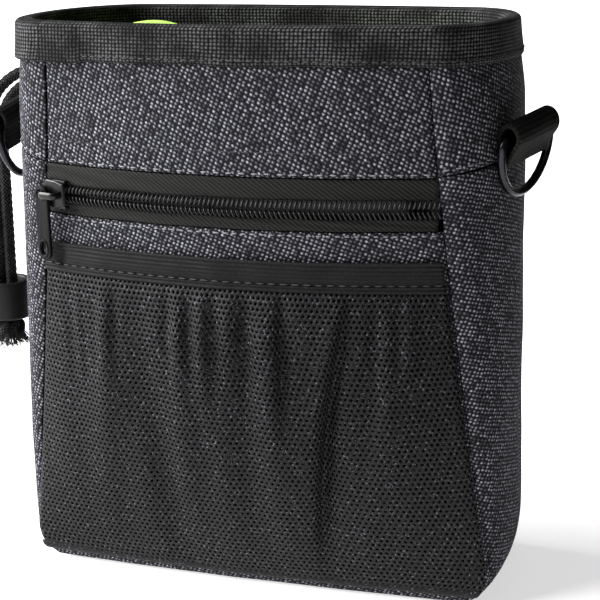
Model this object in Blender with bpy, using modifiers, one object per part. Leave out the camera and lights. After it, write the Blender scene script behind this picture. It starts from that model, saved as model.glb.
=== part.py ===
"""Treat pouch: a stand-up denim bag with a bound mouth, a front zip pocket, a mesh pocket,
a lined drawstring mouth, a webbing tab with a D-ring on each side and a belt loop behind.

Frame: metres, +Z up, the front faces -Y, and the origin is the middle of the base.
"""
import bpy
import bmesh
from math import asin, atan2, cos, pi, radians, sin, sqrt
from mathutils import Matrix, Vector

# ---- driving dimensions -------------------------------------------------------------------
HEIGHT = 0.160            # floor to the top of the bound mouth
FRONT_HALF_BASE = 0.0697  # half the width between the front seams, at the base
FRONT_HALF_TOP = 0.0507   # and at the mouth, where the front bows out
FLARE = 1.3               # how quickly the front seams draw in above the base
SIDE_HALF_BASE = 0.0728   # half the width over the two gussets, at the base
SIDE_HALF_TOP = 0.0693
DEPTH_HALF_BASE = 0.0223  # half the depth between front and back seams, at the base
DEPTH_HALF_TOP = 0.0371
CORNER = 0.012            # radius that the side strip turns through under the bag
BACK_BULGE = 0.003
BULGE_BASE = 0.002        # how far the front panel bows out, at the base
BULGE_ZIP = 0.010         # at the zip
BULGE_TOP = 0.007         # at the mouth

CLOTH = 0.0014            # denim panel
GAP = 0.0003              # clearance between neighbouring pieces
LINING = 0.0005

ZIP_Z = 0.114             # height of the zip's centre line
TAPE_TOP = 0.0079         # from the zip's centre to the top edge of the upper tape
TAPE_BOTTOM = 0.0056      # and to the lower edge of the lower tape
COIL_RADIUS = 0.0009
COIL_OFFSET = 0.0013      # from the zip's centre to each coil's centre
SLIDER_REST_X = -0.0500   # slider at the closed end, on the left
SLIDER_OPEN_X = 0.0460    # where the slider's travel ends, on the right

ELASTIC_LOW = 0.0920
ELASTIC_TOP = 0.1005
MESH_LOW = 0.0040
MESH_LIFT = 0.0068        # how far the gathered mesh stands off the denim
BINDING_HEIGHT = 0.0100
BINDING = 0.0009

SEAM_Z = 0.1223           # cross seam of the gusset, where it meets the front seam
SEAM_RISE = 0.0085        # how much higher it is at the back seam
WEB = 0.0012              # webbing thickness
TAB_WIDTH = 0.0195
RING_WIRE = 0.0023
RING_INNER = 0.0206       # length of the D-ring's straight bar
RING_DROP = 0.0165        # from the bar's centre to the bottom of the wire's centre line

CORD = 0.0032             # drawstring diameter
CORD_SPLIT = 0.0034       # between the centres of the two hanging ends
EYELET_Y = 0.0085
EYELET_Z = 0.1400
EYELET_HOLE = 0.0038
CORD_X = -0.0900          # where the two ends hang
STOP_LOW = 0.0650
STOP_HEIGHT = 0.0120
STOP_RADIUS = 0.0075
KNOT_LOW = 0.0560

BELT_HALF = 0.0190
BELT_LOW = 0.0880
BELT_TOP = 0.1460
BELT_GAP = 0.0064

# ---- scene, collections and materials ------------------------------------------------------
for old in list(bpy.data.objects):
    bpy.data.objects.remove(old, do_unlink=True)


def new_collection(name):
    collection = bpy.data.collections.new(name)
    bpy.context.scene.collection.children.link(collection)
    return collection


PARTS = new_collection("treat_pouch")
CUTTERS = new_collection("cutters")

COLOURS = {
    "denim": ((0.095, 0.095, 0.105), 0.9, 0.0),
    "webbing": ((0.035, 0.035, 0.037), 0.85, 0.0),
    "mesh": ((0.03, 0.03, 0.032), 0.8, 0.0),
    "lining": ((0.05, 0.05, 0.055), 0.5, 0.0),
    "lime": ((0.62, 0.85, 0.22), 0.6, 0.0),
    "nylon": ((0.02, 0.02, 0.022), 0.45, 0.0),
    "black_metal": ((0.03, 0.03, 0.033), 0.25, 1.0),
    "cord": ((0.02, 0.02, 0.022), 0.8, 0.0),
    "plastic": ((0.025, 0.025, 0.027), 0.5, 0.0),
}


def new_material(name, finish):
    colour, roughness, metallic = COLOURS[finish]
    material = bpy.data.materials.new(name)
    material.use_nodes = True
    shader = material.node_tree.nodes["Principled BSDF"]
    shader.inputs["Base Color"].default_value = (*colour, 1.0)
    shader.inputs["Roughness"].default_value = roughness
    shader.inputs["Metallic"].default_value = metallic
    material.diffuse_color = (*colour, 1.0)
    return material


def add_object(name, data, finish, collection=PARTS):
    thing = bpy.data.objects.new(name, data)
    collection.objects.link(thing)
    data.materials.append(new_material(name, finish))
    return thing


def add_cutter(thing):
    thing.hide_render = True
    thing.display_type = "WIRE"
    for old in list(thing.users_collection):
        old.objects.unlink(thing)
    CUTTERS.objects.link(thing)
    return thing


def boolean(thing, other, operation):
    step = thing.modifiers.new(operation.lower(), "BOOLEAN")
    step.operation = operation
    step.solver = "EXACT"
    step.object = other


# ---- the bag's form ------------------------------------------------------------------------
def corner_inset(z):
    """How far the sides draw in near the floor, where the side strip turns under."""
    if z >= CORNER:
        return 0.0
    return CORNER - sqrt(CORNER ** 2 - (CORNER - z) ** 2)


def tuck(z):
    """How much of the gusset's bulge is left as it turns under the bag."""
    return 1.0 if z >= CORNER else 1.0 - (1.0 - z / CORNER) ** 2


def front_half(z):
    level = max(0.0, 1.0 - z / HEIGHT)
    return FRONT_HALF_TOP + (FRONT_HALF_BASE - FRONT_HALF_TOP) * level ** FLARE - corner_inset(z)


def side_half(z):
    level = z / HEIGHT
    return SIDE_HALF_BASE + (SIDE_HALF_TOP - SIDE_HALF_BASE) * level ** 2


def depth_half(z):
    return DEPTH_HALF_BASE + (DEPTH_HALF_TOP - DEPTH_HALF_BASE) * z / HEIGHT


def front_bulge(z):
    if z < ZIP_Z:
        return BULGE_BASE + (BULGE_ZIP - BULGE_BASE) * sin(0.5 * pi * z / ZIP_Z)
    level = (z - ZIP_Z) / (HEIGHT - ZIP_Z)
    return BULGE_ZIP + (BULGE_TOP - BULGE_ZIP) * level * level * (3.0 - 2.0 * level)


def bow(x, half, bulge):
    """Height at x of a circular arc over the chord from -half to +half."""
    radius = (half * half + bulge * bulge) / (2.0 * bulge)
    return bulge - radius + sqrt(max(radius * radius - x * x, 0.0))


def front_point(x, z, out=0.0):
    y = -depth_half(z) - bow(x, front_half(z) + corner_inset(z), front_bulge(z))
    return Vector((x, y - out, z))


def back_point(x, z, out=0.0):
    y = depth_half(z) + bow(x, front_half(z) + corner_inset(z), BACK_BULGE)
    return Vector((x, y + out, z))


def gusset_point(turn, z, inset=0.0):
    """Right gusset, from the front seam (turn 0) round to the back seam (turn pi)."""
    reach = side_half(z) - front_half(z) - corner_inset(z)
    x = front_half(z) - inset + reach * sin(turn) * tuck(z)
    return Vector((x, -(depth_half(z) - inset) * cos(turn), z))


def gusset_frame(y, z):
    """Point and outward direction on the right gusset at a given y."""
    turn = pi - abs(atan2(sqrt(depth_half(z) ** 2 - y * y), y))
    turn_step = 0.02
    rise_step = 0.002
    rear = gusset_point(turn + turn_step, z) - gusset_point(turn - turn_step, z)
    up = gusset_point(turn, z + rise_step) - gusset_point(turn, z - rise_step)
    return gusset_point(turn, z), rear.cross(up).normalized()


def mirrored(point):
    return Vector((-point.x, point.y, point.z))


def spread(low, high, count):
    return [low + (high - low) * i / (count - 1) for i in range(count)]


# ---- makers --------------------------------------------------------------------------------
def grid_mesh(name, rows, closed=False):
    """Quads between rows of points; each row runs to the right as seen from outside."""
    shape = bmesh.new()
    lines = [[shape.verts.new(point) for point in row] for row in rows]
    for low, high in zip(lines, lines[1:]):
        last = len(low) if closed else len(low) - 1
        for i in range(last):
            j = (i + 1) % len(low)
            shape.faces.new((low[i], low[j], high[j], high[i]))
    data = bpy.data.meshes.new(name)
    shape.to_mesh(data)
    shape.free()
    return data


def thicken(thing, thickness):
    wall = thing.modifiers.new("wall", "SOLIDIFY")
    wall.thickness = thickness
    wall.offset = -1.0
    wall.use_even_offset = True


def add_shell(name, rows, thickness, finish, closed=False):
    thing = add_object(name, grid_mesh(name, rows, closed), finish)
    thicken(thing, thickness)
    return thing


def add_bar(name, low, high, finish):
    """A box between two corners, made from a cube primitive."""
    shape = bmesh.new()
    bmesh.ops.create_cube(shape, size=1.0)
    for vertex in shape.verts:
        for axis in range(3):
            side = vertex.co[axis] + 0.5
            vertex.co[axis] = low[axis] + (high[axis] - low[axis]) * side
    data = bpy.data.meshes.new(name)
    shape.to_mesh(data)
    shape.free()
    return add_object(name, data, finish)


def add_turned(name, profile, finish, steps=24):
    """A closed profile of (radius, height), down its outer side, turned about Z."""
    data = bpy.data.meshes.new(name)
    count = len(profile)
    edges = [(i, (i + 1) % count) for i in range(count)]
    data.from_pydata([(radius, 0.0, height) for radius, height in profile], edges, [])
    thing = add_object(name, data, finish)
    turn = thing.modifiers.new("turn", "SCREW")
    turn.steps = steps
    turn.render_steps = steps
    turn.use_merge_vertices = True
    turn.merge_threshold = 0.00001
    return thing


def add_tube(name, points, diameter, finish, cyclic=False, sides=2):
    curve = bpy.data.curves.new(name, "CURVE")
    curve.dimensions = "3D"
    spline = curve.splines.new("POLY")
    spline.points.add(len(points) - 1)
    for knot, point in zip(spline.points, points):
        knot.co = (*point, 1.0)
    spline.use_cyclic_u = cyclic
    curve.bevel_depth = diameter / 2.0
    curve.bevel_resolution = sides
    curve.use_fill_caps = not cyclic
    return add_object(name, curve, finish)


def add_flat(name, outlines, thickness, finish):
    """A flat outline in XY, with its holes, as thick as asked."""
    curve = bpy.data.curves.new(name, "CURVE")
    curve.dimensions = "2D"
    curve.fill_mode = "BOTH"
    curve.extrude = thickness / 2.0
    for outline in outlines:
        spline = curve.splines.new("POLY")
        spline.points.add(len(outline) - 1)
        for knot, (x, y) in zip(spline.points, outline):
            knot.co = (x, y, 0.0, 1.0)
        spline.use_cyclic_u = True
    return add_object(name, curve, finish)


def smooth_line(points, spacing):
    """Points along a Catmull-Rom curve through the given points, about evenly spaced."""
    nodes = [Vector(point) for point in points]
    nodes = [2 * nodes[0] - nodes[1]] + nodes + [2 * nodes[-1] - nodes[-2]]
    line = []
    for a, b, c, d in zip(nodes, nodes[1:], nodes[2:], nodes[3:]):
        count = max(1, round((c - b).length / spacing))
        for i in range(count):
            t = i / count
            line.append(0.5 * ((2 * b) + (c - a) * t + (2 * a - 5 * b + 4 * c - d) * t * t
                               + (3 * b - a - 3 * c + d) * t ** 3))
    line.append(nodes[-2])
    return line


def ellipse(centre_x, centre_y, half_x, half_y, count=20):
    return [(centre_x + half_x * cos(2 * pi * i / count),
             centre_y + half_y * sin(2 * pi * i / count)) for i in range(count)]


# ---- denim panels --------------------------------------------------------------------------
COLUMNS = [u / 8.0 for u in range(-8, 9)]


def levels(low, high, count):
    """Heights for a panel's rows, closer together where the bottom corner turns."""
    if low >= CORNER:
        return spread(low, high, count)
    start = asin(1.0 - low / CORNER)
    corner = [CORNER * (1.0 - sin(angle)) for angle in spread(start, 0.0, 6)]
    return corner + spread(CORNER, high, count)[1:]


def panel_rows(point, low, high, count, side=1.0, out=0.0):
    rows = []
    for z in levels(low, high, count):
        edge = front_half(z) - 0.5 * GAP
        rows.append([point(side * u * edge, z, out) for u in COLUMNS])
    return rows


ZIP_TOP = ZIP_Z + TAPE_TOP + GAP
ZIP_LOW = ZIP_Z - TAPE_BOTTOM - GAP
PANEL_TOP = HEIGHT - BINDING - GAP
add_shell("front_upper_panel", panel_rows(front_point, ZIP_TOP, PANEL_TOP, 4), CLOTH, "denim")
add_shell("front_lower_panel", panel_rows(front_point, GAP, ZIP_LOW, 9), CLOTH, "denim")
add_shell("back_panel", panel_rows(back_point, GAP, PANEL_TOP, 9, side=-1.0), CLOTH, "denim")

GUSSET_INSET = CLOTH + 3 * GAP
SEAM_TURN = 0.06          # the gusset stops this far short of each seam, as an angle
TURNS = spread(SEAM_TURN, pi - SEAM_TURN, 13)
NARROW_FROM = 0.0400      # below this the gusset draws in between the front and back panels
NARROW_OVER = 0.0280


def seam_height(turn):
    return SEAM_Z + SEAM_RISE * turn / pi


def upper_gusset_rows():
    rows = []
    for part in spread(0.0, 1.0, 4):
        row = []
        for turn in TURNS:
            low = seam_height(turn) + 0.5 * GAP
            z = low + (PANEL_TOP - low) * part
            row.append(on_gusset(turn, z))
        rows.append(row)
    return rows


def on_gusset(turn, z):
    """The gusset's face; low down its edges lie between the front and back panels."""
    point = gusset_point(turn, z)
    low = min(1.0, max(0.0, (NARROW_FROM - z) / NARROW_OVER))
    return Vector((point.x, point.y * (1.0 - low * GUSSET_INSET / depth_half(z)), z))


def lower_gusset_rows():
    """Round the bottom corner from the base panel, then up to the cross seam."""
    rows = []
    base_gap = 0.03
    for angle in spread(0.5 * pi - base_gap, 0.0, 7)[:-1]:
        rows.append([on_gusset(turn, CORNER * (1.0 - sin(angle))) for turn in TURNS])
    for part in spread(0.0, 1.0, 8):
        row = []
        for turn in TURNS:
            high = seam_height(turn) - 0.5 * GAP
            row.append(on_gusset(turn, CORNER + (high - CORNER) * part))
        rows.append(row)
    return rows


def left_side(rows):
    return [[mirrored(point) for point in reversed(row)] for row in rows]


add_shell("gusset_right_upper", upper_gusset_rows(), CLOTH, "denim")
gusset_left_upper = add_shell("gusset_left_upper", left_side(upper_gusset_rows()), CLOTH, "denim")
add_shell("gusset_right_lower", lower_gusset_rows(), CLOTH, "denim")
add_shell("gusset_left_lower", left_side(lower_gusset_rows()), CLOTH, "denim")

BASE_HALF = FRONT_HALF_BASE - CORNER - 2 * GAP
BASE_DEPTH = DEPTH_HALF_BASE - GUSSET_INSET
base = add_flat("base_panel",
                [[(-BASE_HALF, -BASE_DEPTH), (BASE_HALF, -BASE_DEPTH),
                  (BASE_HALF, BASE_DEPTH), (-BASE_HALF, BASE_DEPTH)]], CLOTH, "denim")
base.location = (0.0, 0.0, 0.5 * CLOTH)

# ---- zip -----------------------------------------------------------------------------------
# The zip lies on a circle about a vertical axis, so the slider runs round that axis.
ZIP_RADIUS = (front_half(ZIP_Z) ** 2 + BULGE_ZIP ** 2) / (2.0 * BULGE_ZIP)
ZIP_AXIS_Y = ZIP_RADIUS - BULGE_ZIP - depth_half(ZIP_Z)
ZIP_END = asin((front_half(ZIP_Z) - 2 * GAP) / ZIP_RADIUS)
ZIP_LEAN = 0.07           # how much the front leans out for each unit of height
TAPE = 0.0006
TAPE_SET = 0.0004         # the tapes lie this far in from the coils' centres


def zip_point(angle, height, out):
    """A point at an angle round the zip's axis, a height off its centre line, and out."""
    radius = ZIP_RADIUS + ZIP_LEAN * height + out
    return Vector((radius * sin(angle), ZIP_AXIS_Y - radius * cos(angle), ZIP_Z + height))


def zip_strip(low, high):
    angles = spread(-ZIP_END, ZIP_END, 17)
    return [[zip_point(angle, height, -TAPE_SET) for angle in angles] for height in (low, high)]


COIL_EDGE = COIL_OFFSET + COIL_RADIUS + 0.0002
add_shell("zip_tape_upper", zip_strip(COIL_EDGE, TAPE_TOP), TAPE, "webbing")
add_shell("zip_tape_lower", zip_strip(-TAPE_BOTTOM, -COIL_EDGE), TAPE, "webbing")
for name, height in (("zip_coil_upper", COIL_OFFSET), ("zip_coil_lower", -COIL_OFFSET)):
    path = [zip_point(angle, height, 0.0) for angle in spread(-ZIP_END, ZIP_END, 17)]
    add_tube(name, path, 2 * COIL_RADIUS, "nylon")

# The slider is drawn at the middle of the zip, with X along the zip and -Y outwards.
SLIDER_HALF = 0.0040      # half its length along the zip
SLIDER_WIDE = 0.0040      # half its height across the zip
PLATE_OUT = 0.0014        # inner face of the front plate, out from the coils' centre
PLATE = 0.0009
PLATE_IN = 0.0016         # inner face of the back plate, in from the coils' centre
FLANGE = 0.0006
BRIDGE_OUT = 0.0046       # inner face of the bridge that the pull hangs under
BRIDGE_HALF = 0.0006
BRIDGE = 0.0009
LEG_OUTER = 0.0034        # the legs of the bridge stand between these, left and right
LEG_INNER = 0.0022
OVERLAP = 0.0004          # how far the slider's pieces run into each other
DIVIDER = 0.0016
DIVIDER_HALF = 0.0002
FLANGE_IN = 0.0001        # inner edge of the front flanges, out from the coils' centre
FLANGE_BACK = 0.0014      # and of the back flanges, in from it
PULL_OUT = 0.0029         # back face of the pull
PULL = 0.0011
LEG_X = -0.0028           # the bridge's left leg, which the pull's eye is on
rest_angle = asin(SLIDER_REST_X / ZIP_RADIUS)


def zip_bar(name, x, out, height):
    """A box on the slider, from ranges along the zip, outwards and in height."""
    return add_bar(name, (x[0], -out[1], height[0]), (x[1], -out[0], height[1]), "black_metal")


slider = zip_bar("zip_slider", (-SLIDER_HALF, SLIDER_HALF),
                 (PLATE_OUT, PLATE_OUT + PLATE), (-SLIDER_WIDE, SLIDER_WIDE))
joined = [zip_bar("slider_back", (-SLIDER_HALF, SLIDER_HALF),
                  (-PLATE_IN - PLATE, -PLATE_IN), (-SLIDER_WIDE, SLIDER_WIDE)),
          zip_bar("slider_divider", (-SLIDER_HALF, -SLIDER_HALF + DIVIDER),
                  (-PLATE_IN - OVERLAP, PLATE_OUT + OVERLAP), (-DIVIDER_HALF, DIVIDER_HALF))]
for sign in (-1.0, 1.0):
    edge = sorted((sign * (SLIDER_WIDE - FLANGE), sign * SLIDER_WIDE))
    joined.append(zip_bar("slider_front_flange", (-SLIDER_HALF, SLIDER_HALF),
                          (FLANGE_IN, PLATE_OUT + OVERLAP), edge))
    joined.append(zip_bar("slider_back_flange", (-SLIDER_HALF, SLIDER_HALF),
                          (-PLATE_IN - OVERLAP, -FLANGE_BACK), edge))
    leg = sorted((sign * LEG_OUTER, sign * LEG_INNER))
    joined.append(zip_bar("slider_leg", leg, (PLATE_OUT + OVERLAP, BRIDGE_OUT + OVERLAP),
                          (-BRIDGE_HALF, BRIDGE_HALF)))
joined.append(zip_bar("slider_bridge", (-LEG_OUTER, LEG_OUTER),
                      (BRIDGE_OUT, BRIDGE_OUT + BRIDGE), (-BRIDGE_HALF, BRIDGE_HALF)))
for other in joined:
    boolean(slider, add_cutter(other), "UNION")


def about_zip_axis(angle):
    """Placement of the slider: drawn at the circle's front, then swung round the zip's axis."""
    centre = Vector((0.0, ZIP_AXIS_Y, ZIP_Z))
    return (Matrix.Translation(centre) @ Matrix.Rotation(angle, 4, "Z")
            @ Matrix.Translation((0.0, -ZIP_RADIUS, 0.0)))


zip_axis = bpy.data.objects.new("zip_axis", None)
PARTS.objects.link(zip_axis)
zip_axis.matrix_world = Matrix.Translation((0.0, ZIP_AXIS_Y, ZIP_Z))
for thing in [slider] + joined:
    thing.matrix_world = about_zip_axis(rest_angle)
    thing.parent = zip_axis
    thing.matrix_parent_inverse = zip_axis.matrix_world.inverted()

# The pull is a flat tab drawn in XY, hanging along -Y from its eye at the origin.
PULL_HALF = 0.0021
PULL_DROP = 0.0163        # from the eye's centre to the centre of the round lower end
PULL_LEAN = radians(6.0)
EYE_RADIUS = 0.0023
EYE_HOLE = 0.0012
WINDOW_HALF = 0.0011      # the oval hole in the lower end
WINDOW_TALL = 0.0019


def pull_outline():
    eye = [(EYE_RADIUS * cos(a), EYE_RADIUS * sin(a))
           for a in spread(radians(-50), radians(230), 15)]
    end = [(PULL_HALF * cos(a), PULL_HALF * sin(a) - PULL_DROP)
           for a in spread(pi, 2 * pi, 10)]
    return eye + end


window_y = -PULL_DROP + WINDOW_HALF
pull = add_flat("zip_pull", [pull_outline(), ellipse(0.0, 0.0, EYE_HOLE, EYE_HOLE),
                             ellipse(0.0, window_y, WINDOW_HALF, WINDOW_TALL)],
                PULL, "black_metal")
pull_place = (Matrix.Translation((LEG_X, -PULL_OUT - 0.5 * PULL, 0.0))
              @ Matrix.Rotation(0.5 * pi + PULL_LEAN, 4, "X"))
pull.matrix_world = about_zip_axis(rest_angle) @ pull_place

# A single sheet behind the front panels makes the zip pocket.
POCKET_INSET = 0.0030
POCKET_LOW = 0.0200
POCKET_TOP = 0.1400
POCKET_MARGIN = 0.0070    # short of each front seam
POCKET_CLOTH = 0.0004
pocket_rows = []
for z in spread(POCKET_LOW, POCKET_TOP, 9):
    half = front_half(z) - POCKET_MARGIN
    pocket_rows.append([front_point(u * half, z, -POCKET_INSET) for u in COLUMNS])
add_shell("zip_pocket_lining", pocket_rows, POCKET_CLOTH, "lining")

# ---- mesh pocket and its elastic ------------------------------------------------------------
EDGE = 0.0008             # the pocket stops this far short of each front seam
ELASTIC = 0.0010
MESH_WALL = 0.0009


def mesh_lift(x, z):
    """How far the mesh's outer face stands off the denim."""
    up = min(1.0, max(0.0, (z - MESH_LOW) / (ELASTIC_LOW - GAP - MESH_LOW)))
    across = abs(x) / (front_half(z) + corner_inset(z))
    return GAP + MESH_WALL + MESH_LIFT * abs(sin(pi * up)) ** 0.8 * (1.0 - across ** 3)


mesh_rows = []
for z in levels(MESH_LOW, ELASTIC_LOW - GAP, 10):
    half = front_half(z) - EDGE
    mesh_rows.append([front_point(u * half, z, mesh_lift(u * half, z)) for u in COLUMNS])
add_shell("mesh_pocket", mesh_rows, MESH_WALL, "mesh")
elastic_rows = [[front_point(u * (front_half(z) - EDGE), z, GAP + ELASTIC) for u in COLUMNS]
                for z in spread(ELASTIC_LOW, ELASTIC_TOP, 3)]
add_shell("pocket_elastic", elastic_rows, ELASTIC, "webbing")

# ---- rings round the mouth: binding, liner and drawstring collar ----------------------------
RING_TURNS = spread(0.0, pi, 13)


def mouth_ring(z, inset):
    """Closed plan outline at a height, drawn in on every side by the inset."""
    half = front_half(z) - inset
    front = [Vector((u * half, front_point(u * front_half(z), z).y + inset, z))
             for u in COLUMNS]
    right = [gusset_point(turn, z, inset) for turn in RING_TURNS[1:-1]]
    back = [Vector((-u * half, back_point(u * front_half(z), z).y - inset, z))
            for u in COLUMNS]
    left = [mirrored(point) for point in reversed(right)]
    return front + right + back + left


BINDING_OUT = GAP + BINDING
BINDING_IN = CLOTH + 2 * GAP + BINDING + 0.0004
TOP_EDGE = 0.0006         # how far down the tape's top edge turns
TOP_IN = 0.0008           # and how far across
binding_low = HEIGHT - BINDING_HEIGHT
binding_section = [(-BINDING_OUT, binding_low), (-BINDING_OUT, HEIGHT - TOP_EDGE),
                   (TOP_IN - BINDING_OUT, HEIGHT), (BINDING_IN - TOP_IN, HEIGHT),
                   (BINDING_IN, HEIGHT - TOP_EDGE), (BINDING_IN, binding_low),
                   (CLOTH + 2 * GAP, binding_low), (CLOTH + 2 * GAP, PANEL_TOP + GAP),
                   (-GAP, PANEL_TOP + GAP), (-GAP, binding_low)]
binding_rows = [mouth_ring(z, inset) for inset, z in binding_section]
add_object("rim_binding", grid_mesh("rim_binding", binding_rows + binding_rows[:1], True),
           "webbing")
seam = bmesh.new()
seam.from_mesh(bpy.data.objects["rim_binding"].data)
bmesh.ops.remove_doubles(seam, verts=seam.verts, dist=0.000001)
seam.to_mesh(bpy.data.objects["rim_binding"].data)
seam.free()

LINER_INSET = 0.0034
LINER_FRONT = 0.0054      # the liner stands further in behind the zip pocket
LINER_TURN = 0.1280       # above here it moves out to meet the binding,
LINER_TURN_OVER = 0.0140  # over this height


def liner_inset(z):
    """Behind the zip pocket the liner stands well in; near the mouth it meets the binding."""
    if z < CORNER:
        inner = CORNER - CLOTH - 4 * GAP
        turned = sqrt(max(inner ** 2 - (CORNER - z) ** 2, 0.0))
        return max(LINER_FRONT, CORNER - turned - corner_inset(z))
    level = min(1.0, max(0.0, (z - LINER_TURN) / LINER_TURN_OVER))
    return LINER_FRONT + (LINER_INSET - LINER_FRONT) * level * level * (3.0 - 2.0 * level)


LINER_TOP = binding_low - GAP
LINER_LOW = CLOTH + 0.0006
LINER_WALL = 0.0150       # above here the liner's wall is straight
liner_heights = spread(LINER_LOW, LINER_WALL, 4)[:-1] + spread(LINER_WALL, LINER_TOP, 9)
liner_rows = [mouth_ring(z, liner_inset(z)) for z in liner_heights]
liner_mesh = grid_mesh("liner", liner_rows, True)
liner = add_object("liner", liner_mesh, "lining")
floor = bmesh.new()
floor.from_mesh(liner_mesh)
bmesh.ops.contextual_create(floor, geom=[e for e in floor.edges if e.is_boundary
                                         and e.verts[0].co.z < 2 * LINER_LOW])
bmesh.ops.triangulate(floor, faces=[f for f in floor.faces if len(f.verts) > 4])
floor.to_mesh(liner_mesh)
floor.free()
thicken(liner, LINING)

COLLAR_TOP = LINER_TOP - 0.0010
COLLAR_LOW = 0.1280
CHANNEL = 0.0056        # how far in the collar bulges round the drawstring
collar_rows = []
for z in spread(COLLAR_LOW, COLLAR_TOP, 8):
    level = (z - COLLAR_LOW) / (COLLAR_TOP - COLLAR_LOW)
    inset = liner_inset(z) + LINING + GAP + CHANNEL * abs(sin(pi * level)) ** 0.6
    collar_rows.append(mouth_ring(z, inset))
add_shell("drawstring_collar", collar_rows, LINING, "lime", closed=True)

# ---- eyelet, drawstring, cord stop and knot -----------------------------------------------
eyelet_spot, eyelet_out = gusset_frame(EYELET_Y, EYELET_Z)
eyelet_spot = mirrored(eyelet_spot)
eyelet_out = mirrored(eyelet_out)
FLANGE_RADIUS = 0.0062
FLANGE_TOP = 0.0012       # heights out from the gusset's face
FLANGE_FACE = 0.0005
BARREL = 0.0005
BARREL_END = -0.0029
WASHER_OUTER = -0.0024
WASHER_INNER = -0.0028
WASHER_CLEAR = 0.0002
CUT_OUTER = 0.0080        # the hole is cut between these heights
CUT_INNER = -0.0120
NEAR_AXIS = 0.00001


def along(axis, spot):
    """Placement that turns a piece's own Z to an axis and moves it to a spot."""
    return Matrix.Translation(spot) @ axis.to_track_quat("Z", "Y").to_matrix().to_4x4()


hole_radius = EYELET_HOLE + BARREL + GAP
hole = add_turned("eyelet_cutter", [(NEAR_AXIS, CUT_OUTER), (hole_radius, CUT_OUTER),
                                    (hole_radius, CUT_INNER), (NEAR_AXIS, CUT_INNER)],
                  "black_metal")
hole.matrix_world = along(eyelet_out, eyelet_spot)
add_cutter(hole)
boolean(gusset_left_upper, hole, "DIFFERENCE")
boolean(liner, hole, "DIFFERENCE")

eyelet = add_turned("eyelet",
                    [(EYELET_HOLE, FLANGE_TOP), (FLANGE_RADIUS - 0.0006, FLANGE_TOP),
                     (FLANGE_RADIUS, FLANGE_FACE), (EYELET_HOLE + BARREL, FLANGE_FACE),
                     (EYELET_HOLE + BARREL, BARREL_END), (EYELET_HOLE, BARREL_END)],
                    "black_metal")
eyelet.matrix_world = along(eyelet_out, eyelet_spot)
washer_hole = EYELET_HOLE + BARREL + WASHER_CLEAR
washer = add_turned("eyelet_washer",
                    [(washer_hole, WASHER_OUTER), (FLANGE_RADIUS, WASHER_OUTER),
                     (FLANGE_RADIUS, WASHER_INNER), (washer_hole, WASHER_INNER)],
                    "black_metal")
washer.matrix_world = along(eyelet_out, eyelet_spot)

# Both ends of the drawstring leave by the one eyelet, one above the other.
half_split = 0.5 * CORD_SPLIT
exit_x = eyelet_spot.x - 0.0016
LOOP_INSET = 0.0070
LOOP_CLEAR_X = -0.0580    # the ring is left open around the eyelet
LOOP_CLEAR_Y = 0.0120


def loop_route():
    """From the eyelet inwards, once round the mouth in its channel, and out again."""
    ring = mouth_ring(EYELET_Z, LOOP_INSET)
    ring = [point for point in ring
            if point.x > LOOP_CLEAR_X or abs(point.y - EYELET_Y) > LOOP_CLEAR_Y]
    near_eyelet = Vector((-0.062, -0.004, EYELET_Z))
    start = min(range(len(ring)), key=lambda i: (ring[i] - near_eyelet).length)
    ring = ring[start:] + ring[:start]
    high = Vector((0.0, 0.0, half_split))
    inner = Vector((eyelet_spot.x + 0.0072, EYELET_Y, EYELET_Z))
    outer = Vector((exit_x, EYELET_Y, EYELET_Z))
    first = [outer + high, inner + high + Vector((-0.0022, 0.0, 0.0)),
             inner + high + Vector((0.0002, -0.0024, 0.0))]
    last = [inner - high + Vector((0.0002, 0.0024, 0.0)),
            inner - high + Vector((-0.0022, 0.0, 0.0)), outer - high]
    count = len(ring)
    middle = [point + high * (1.0 - 2.0 * i / (count - 1)) for i, point in enumerate(ring)]
    return first + middle + last


loop_points = smooth_line(loop_route(), 0.008)
add_tube("drawstring_loop", loop_points, CORD, "cord")

CORD_END = STOP_LOW - GAP


def tail_route(rise, x):
    """Out of the eyelet, over in a bend and straight down to the knot."""
    top = EYELET_Z + rise
    start = exit_x - GAP
    drop = start - x
    bend = [(start, EYELET_Y, top), (start - 0.35 * drop, EYELET_Y, top + 0.0004),
            (start - 0.70 * drop, EYELET_Y, top - 0.0030),
            (x + 0.0011, EYELET_Y, top - 0.0090), (x, EYELET_Y, top - 0.0180)]
    return bend + [(x, EYELET_Y, z) for z in (0.106, 0.090, 0.078, CORD_END)]


for name, rise, x in (("drawstring_tail_outer", half_split, CORD_X - half_split),
                      ("drawstring_tail_inner", -half_split, CORD_X + half_split)):
    add_tube(name, smooth_line(tail_route(rise, x), 0.0045), CORD, "cord")

BORE = 0.0037
stop = add_turned("cord_stop",
                  [(0.0060, 0.5 * STOP_HEIGHT), (STOP_RADIUS - 0.0006, 0.5 * STOP_HEIGHT),
                   (STOP_RADIUS, 0.5 * STOP_HEIGHT - 0.0006),
                   (STOP_RADIUS, -0.5 * STOP_HEIGHT + 0.0008),
                   (STOP_RADIUS - 0.0008, -0.5 * STOP_HEIGHT), (BORE, -0.5 * STOP_HEIGHT),
                   (BORE, 0.5 * STOP_HEIGHT - 0.0040), (0.0060, 0.5 * STOP_HEIGHT - 0.0030)],
                  "plastic")
stop.location = (CORD_X, EYELET_Y, STOP_LOW + 0.5 * STOP_HEIGHT)
knot = add_turned("cord_knot",
                  [(0.00001, 0.0080), (0.0030, 0.0078), (0.0048, 0.0062), (0.0046, 0.0042),
                   (0.0040, 0.0034), (0.0060, 0.0020), (0.0075, 0.0004), (0.0070, 0.0),
                   (0.00001, 0.0)], "cord", steps=20)
knot.location = (CORD_X, EYELET_Y, KNOT_LOW)

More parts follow.
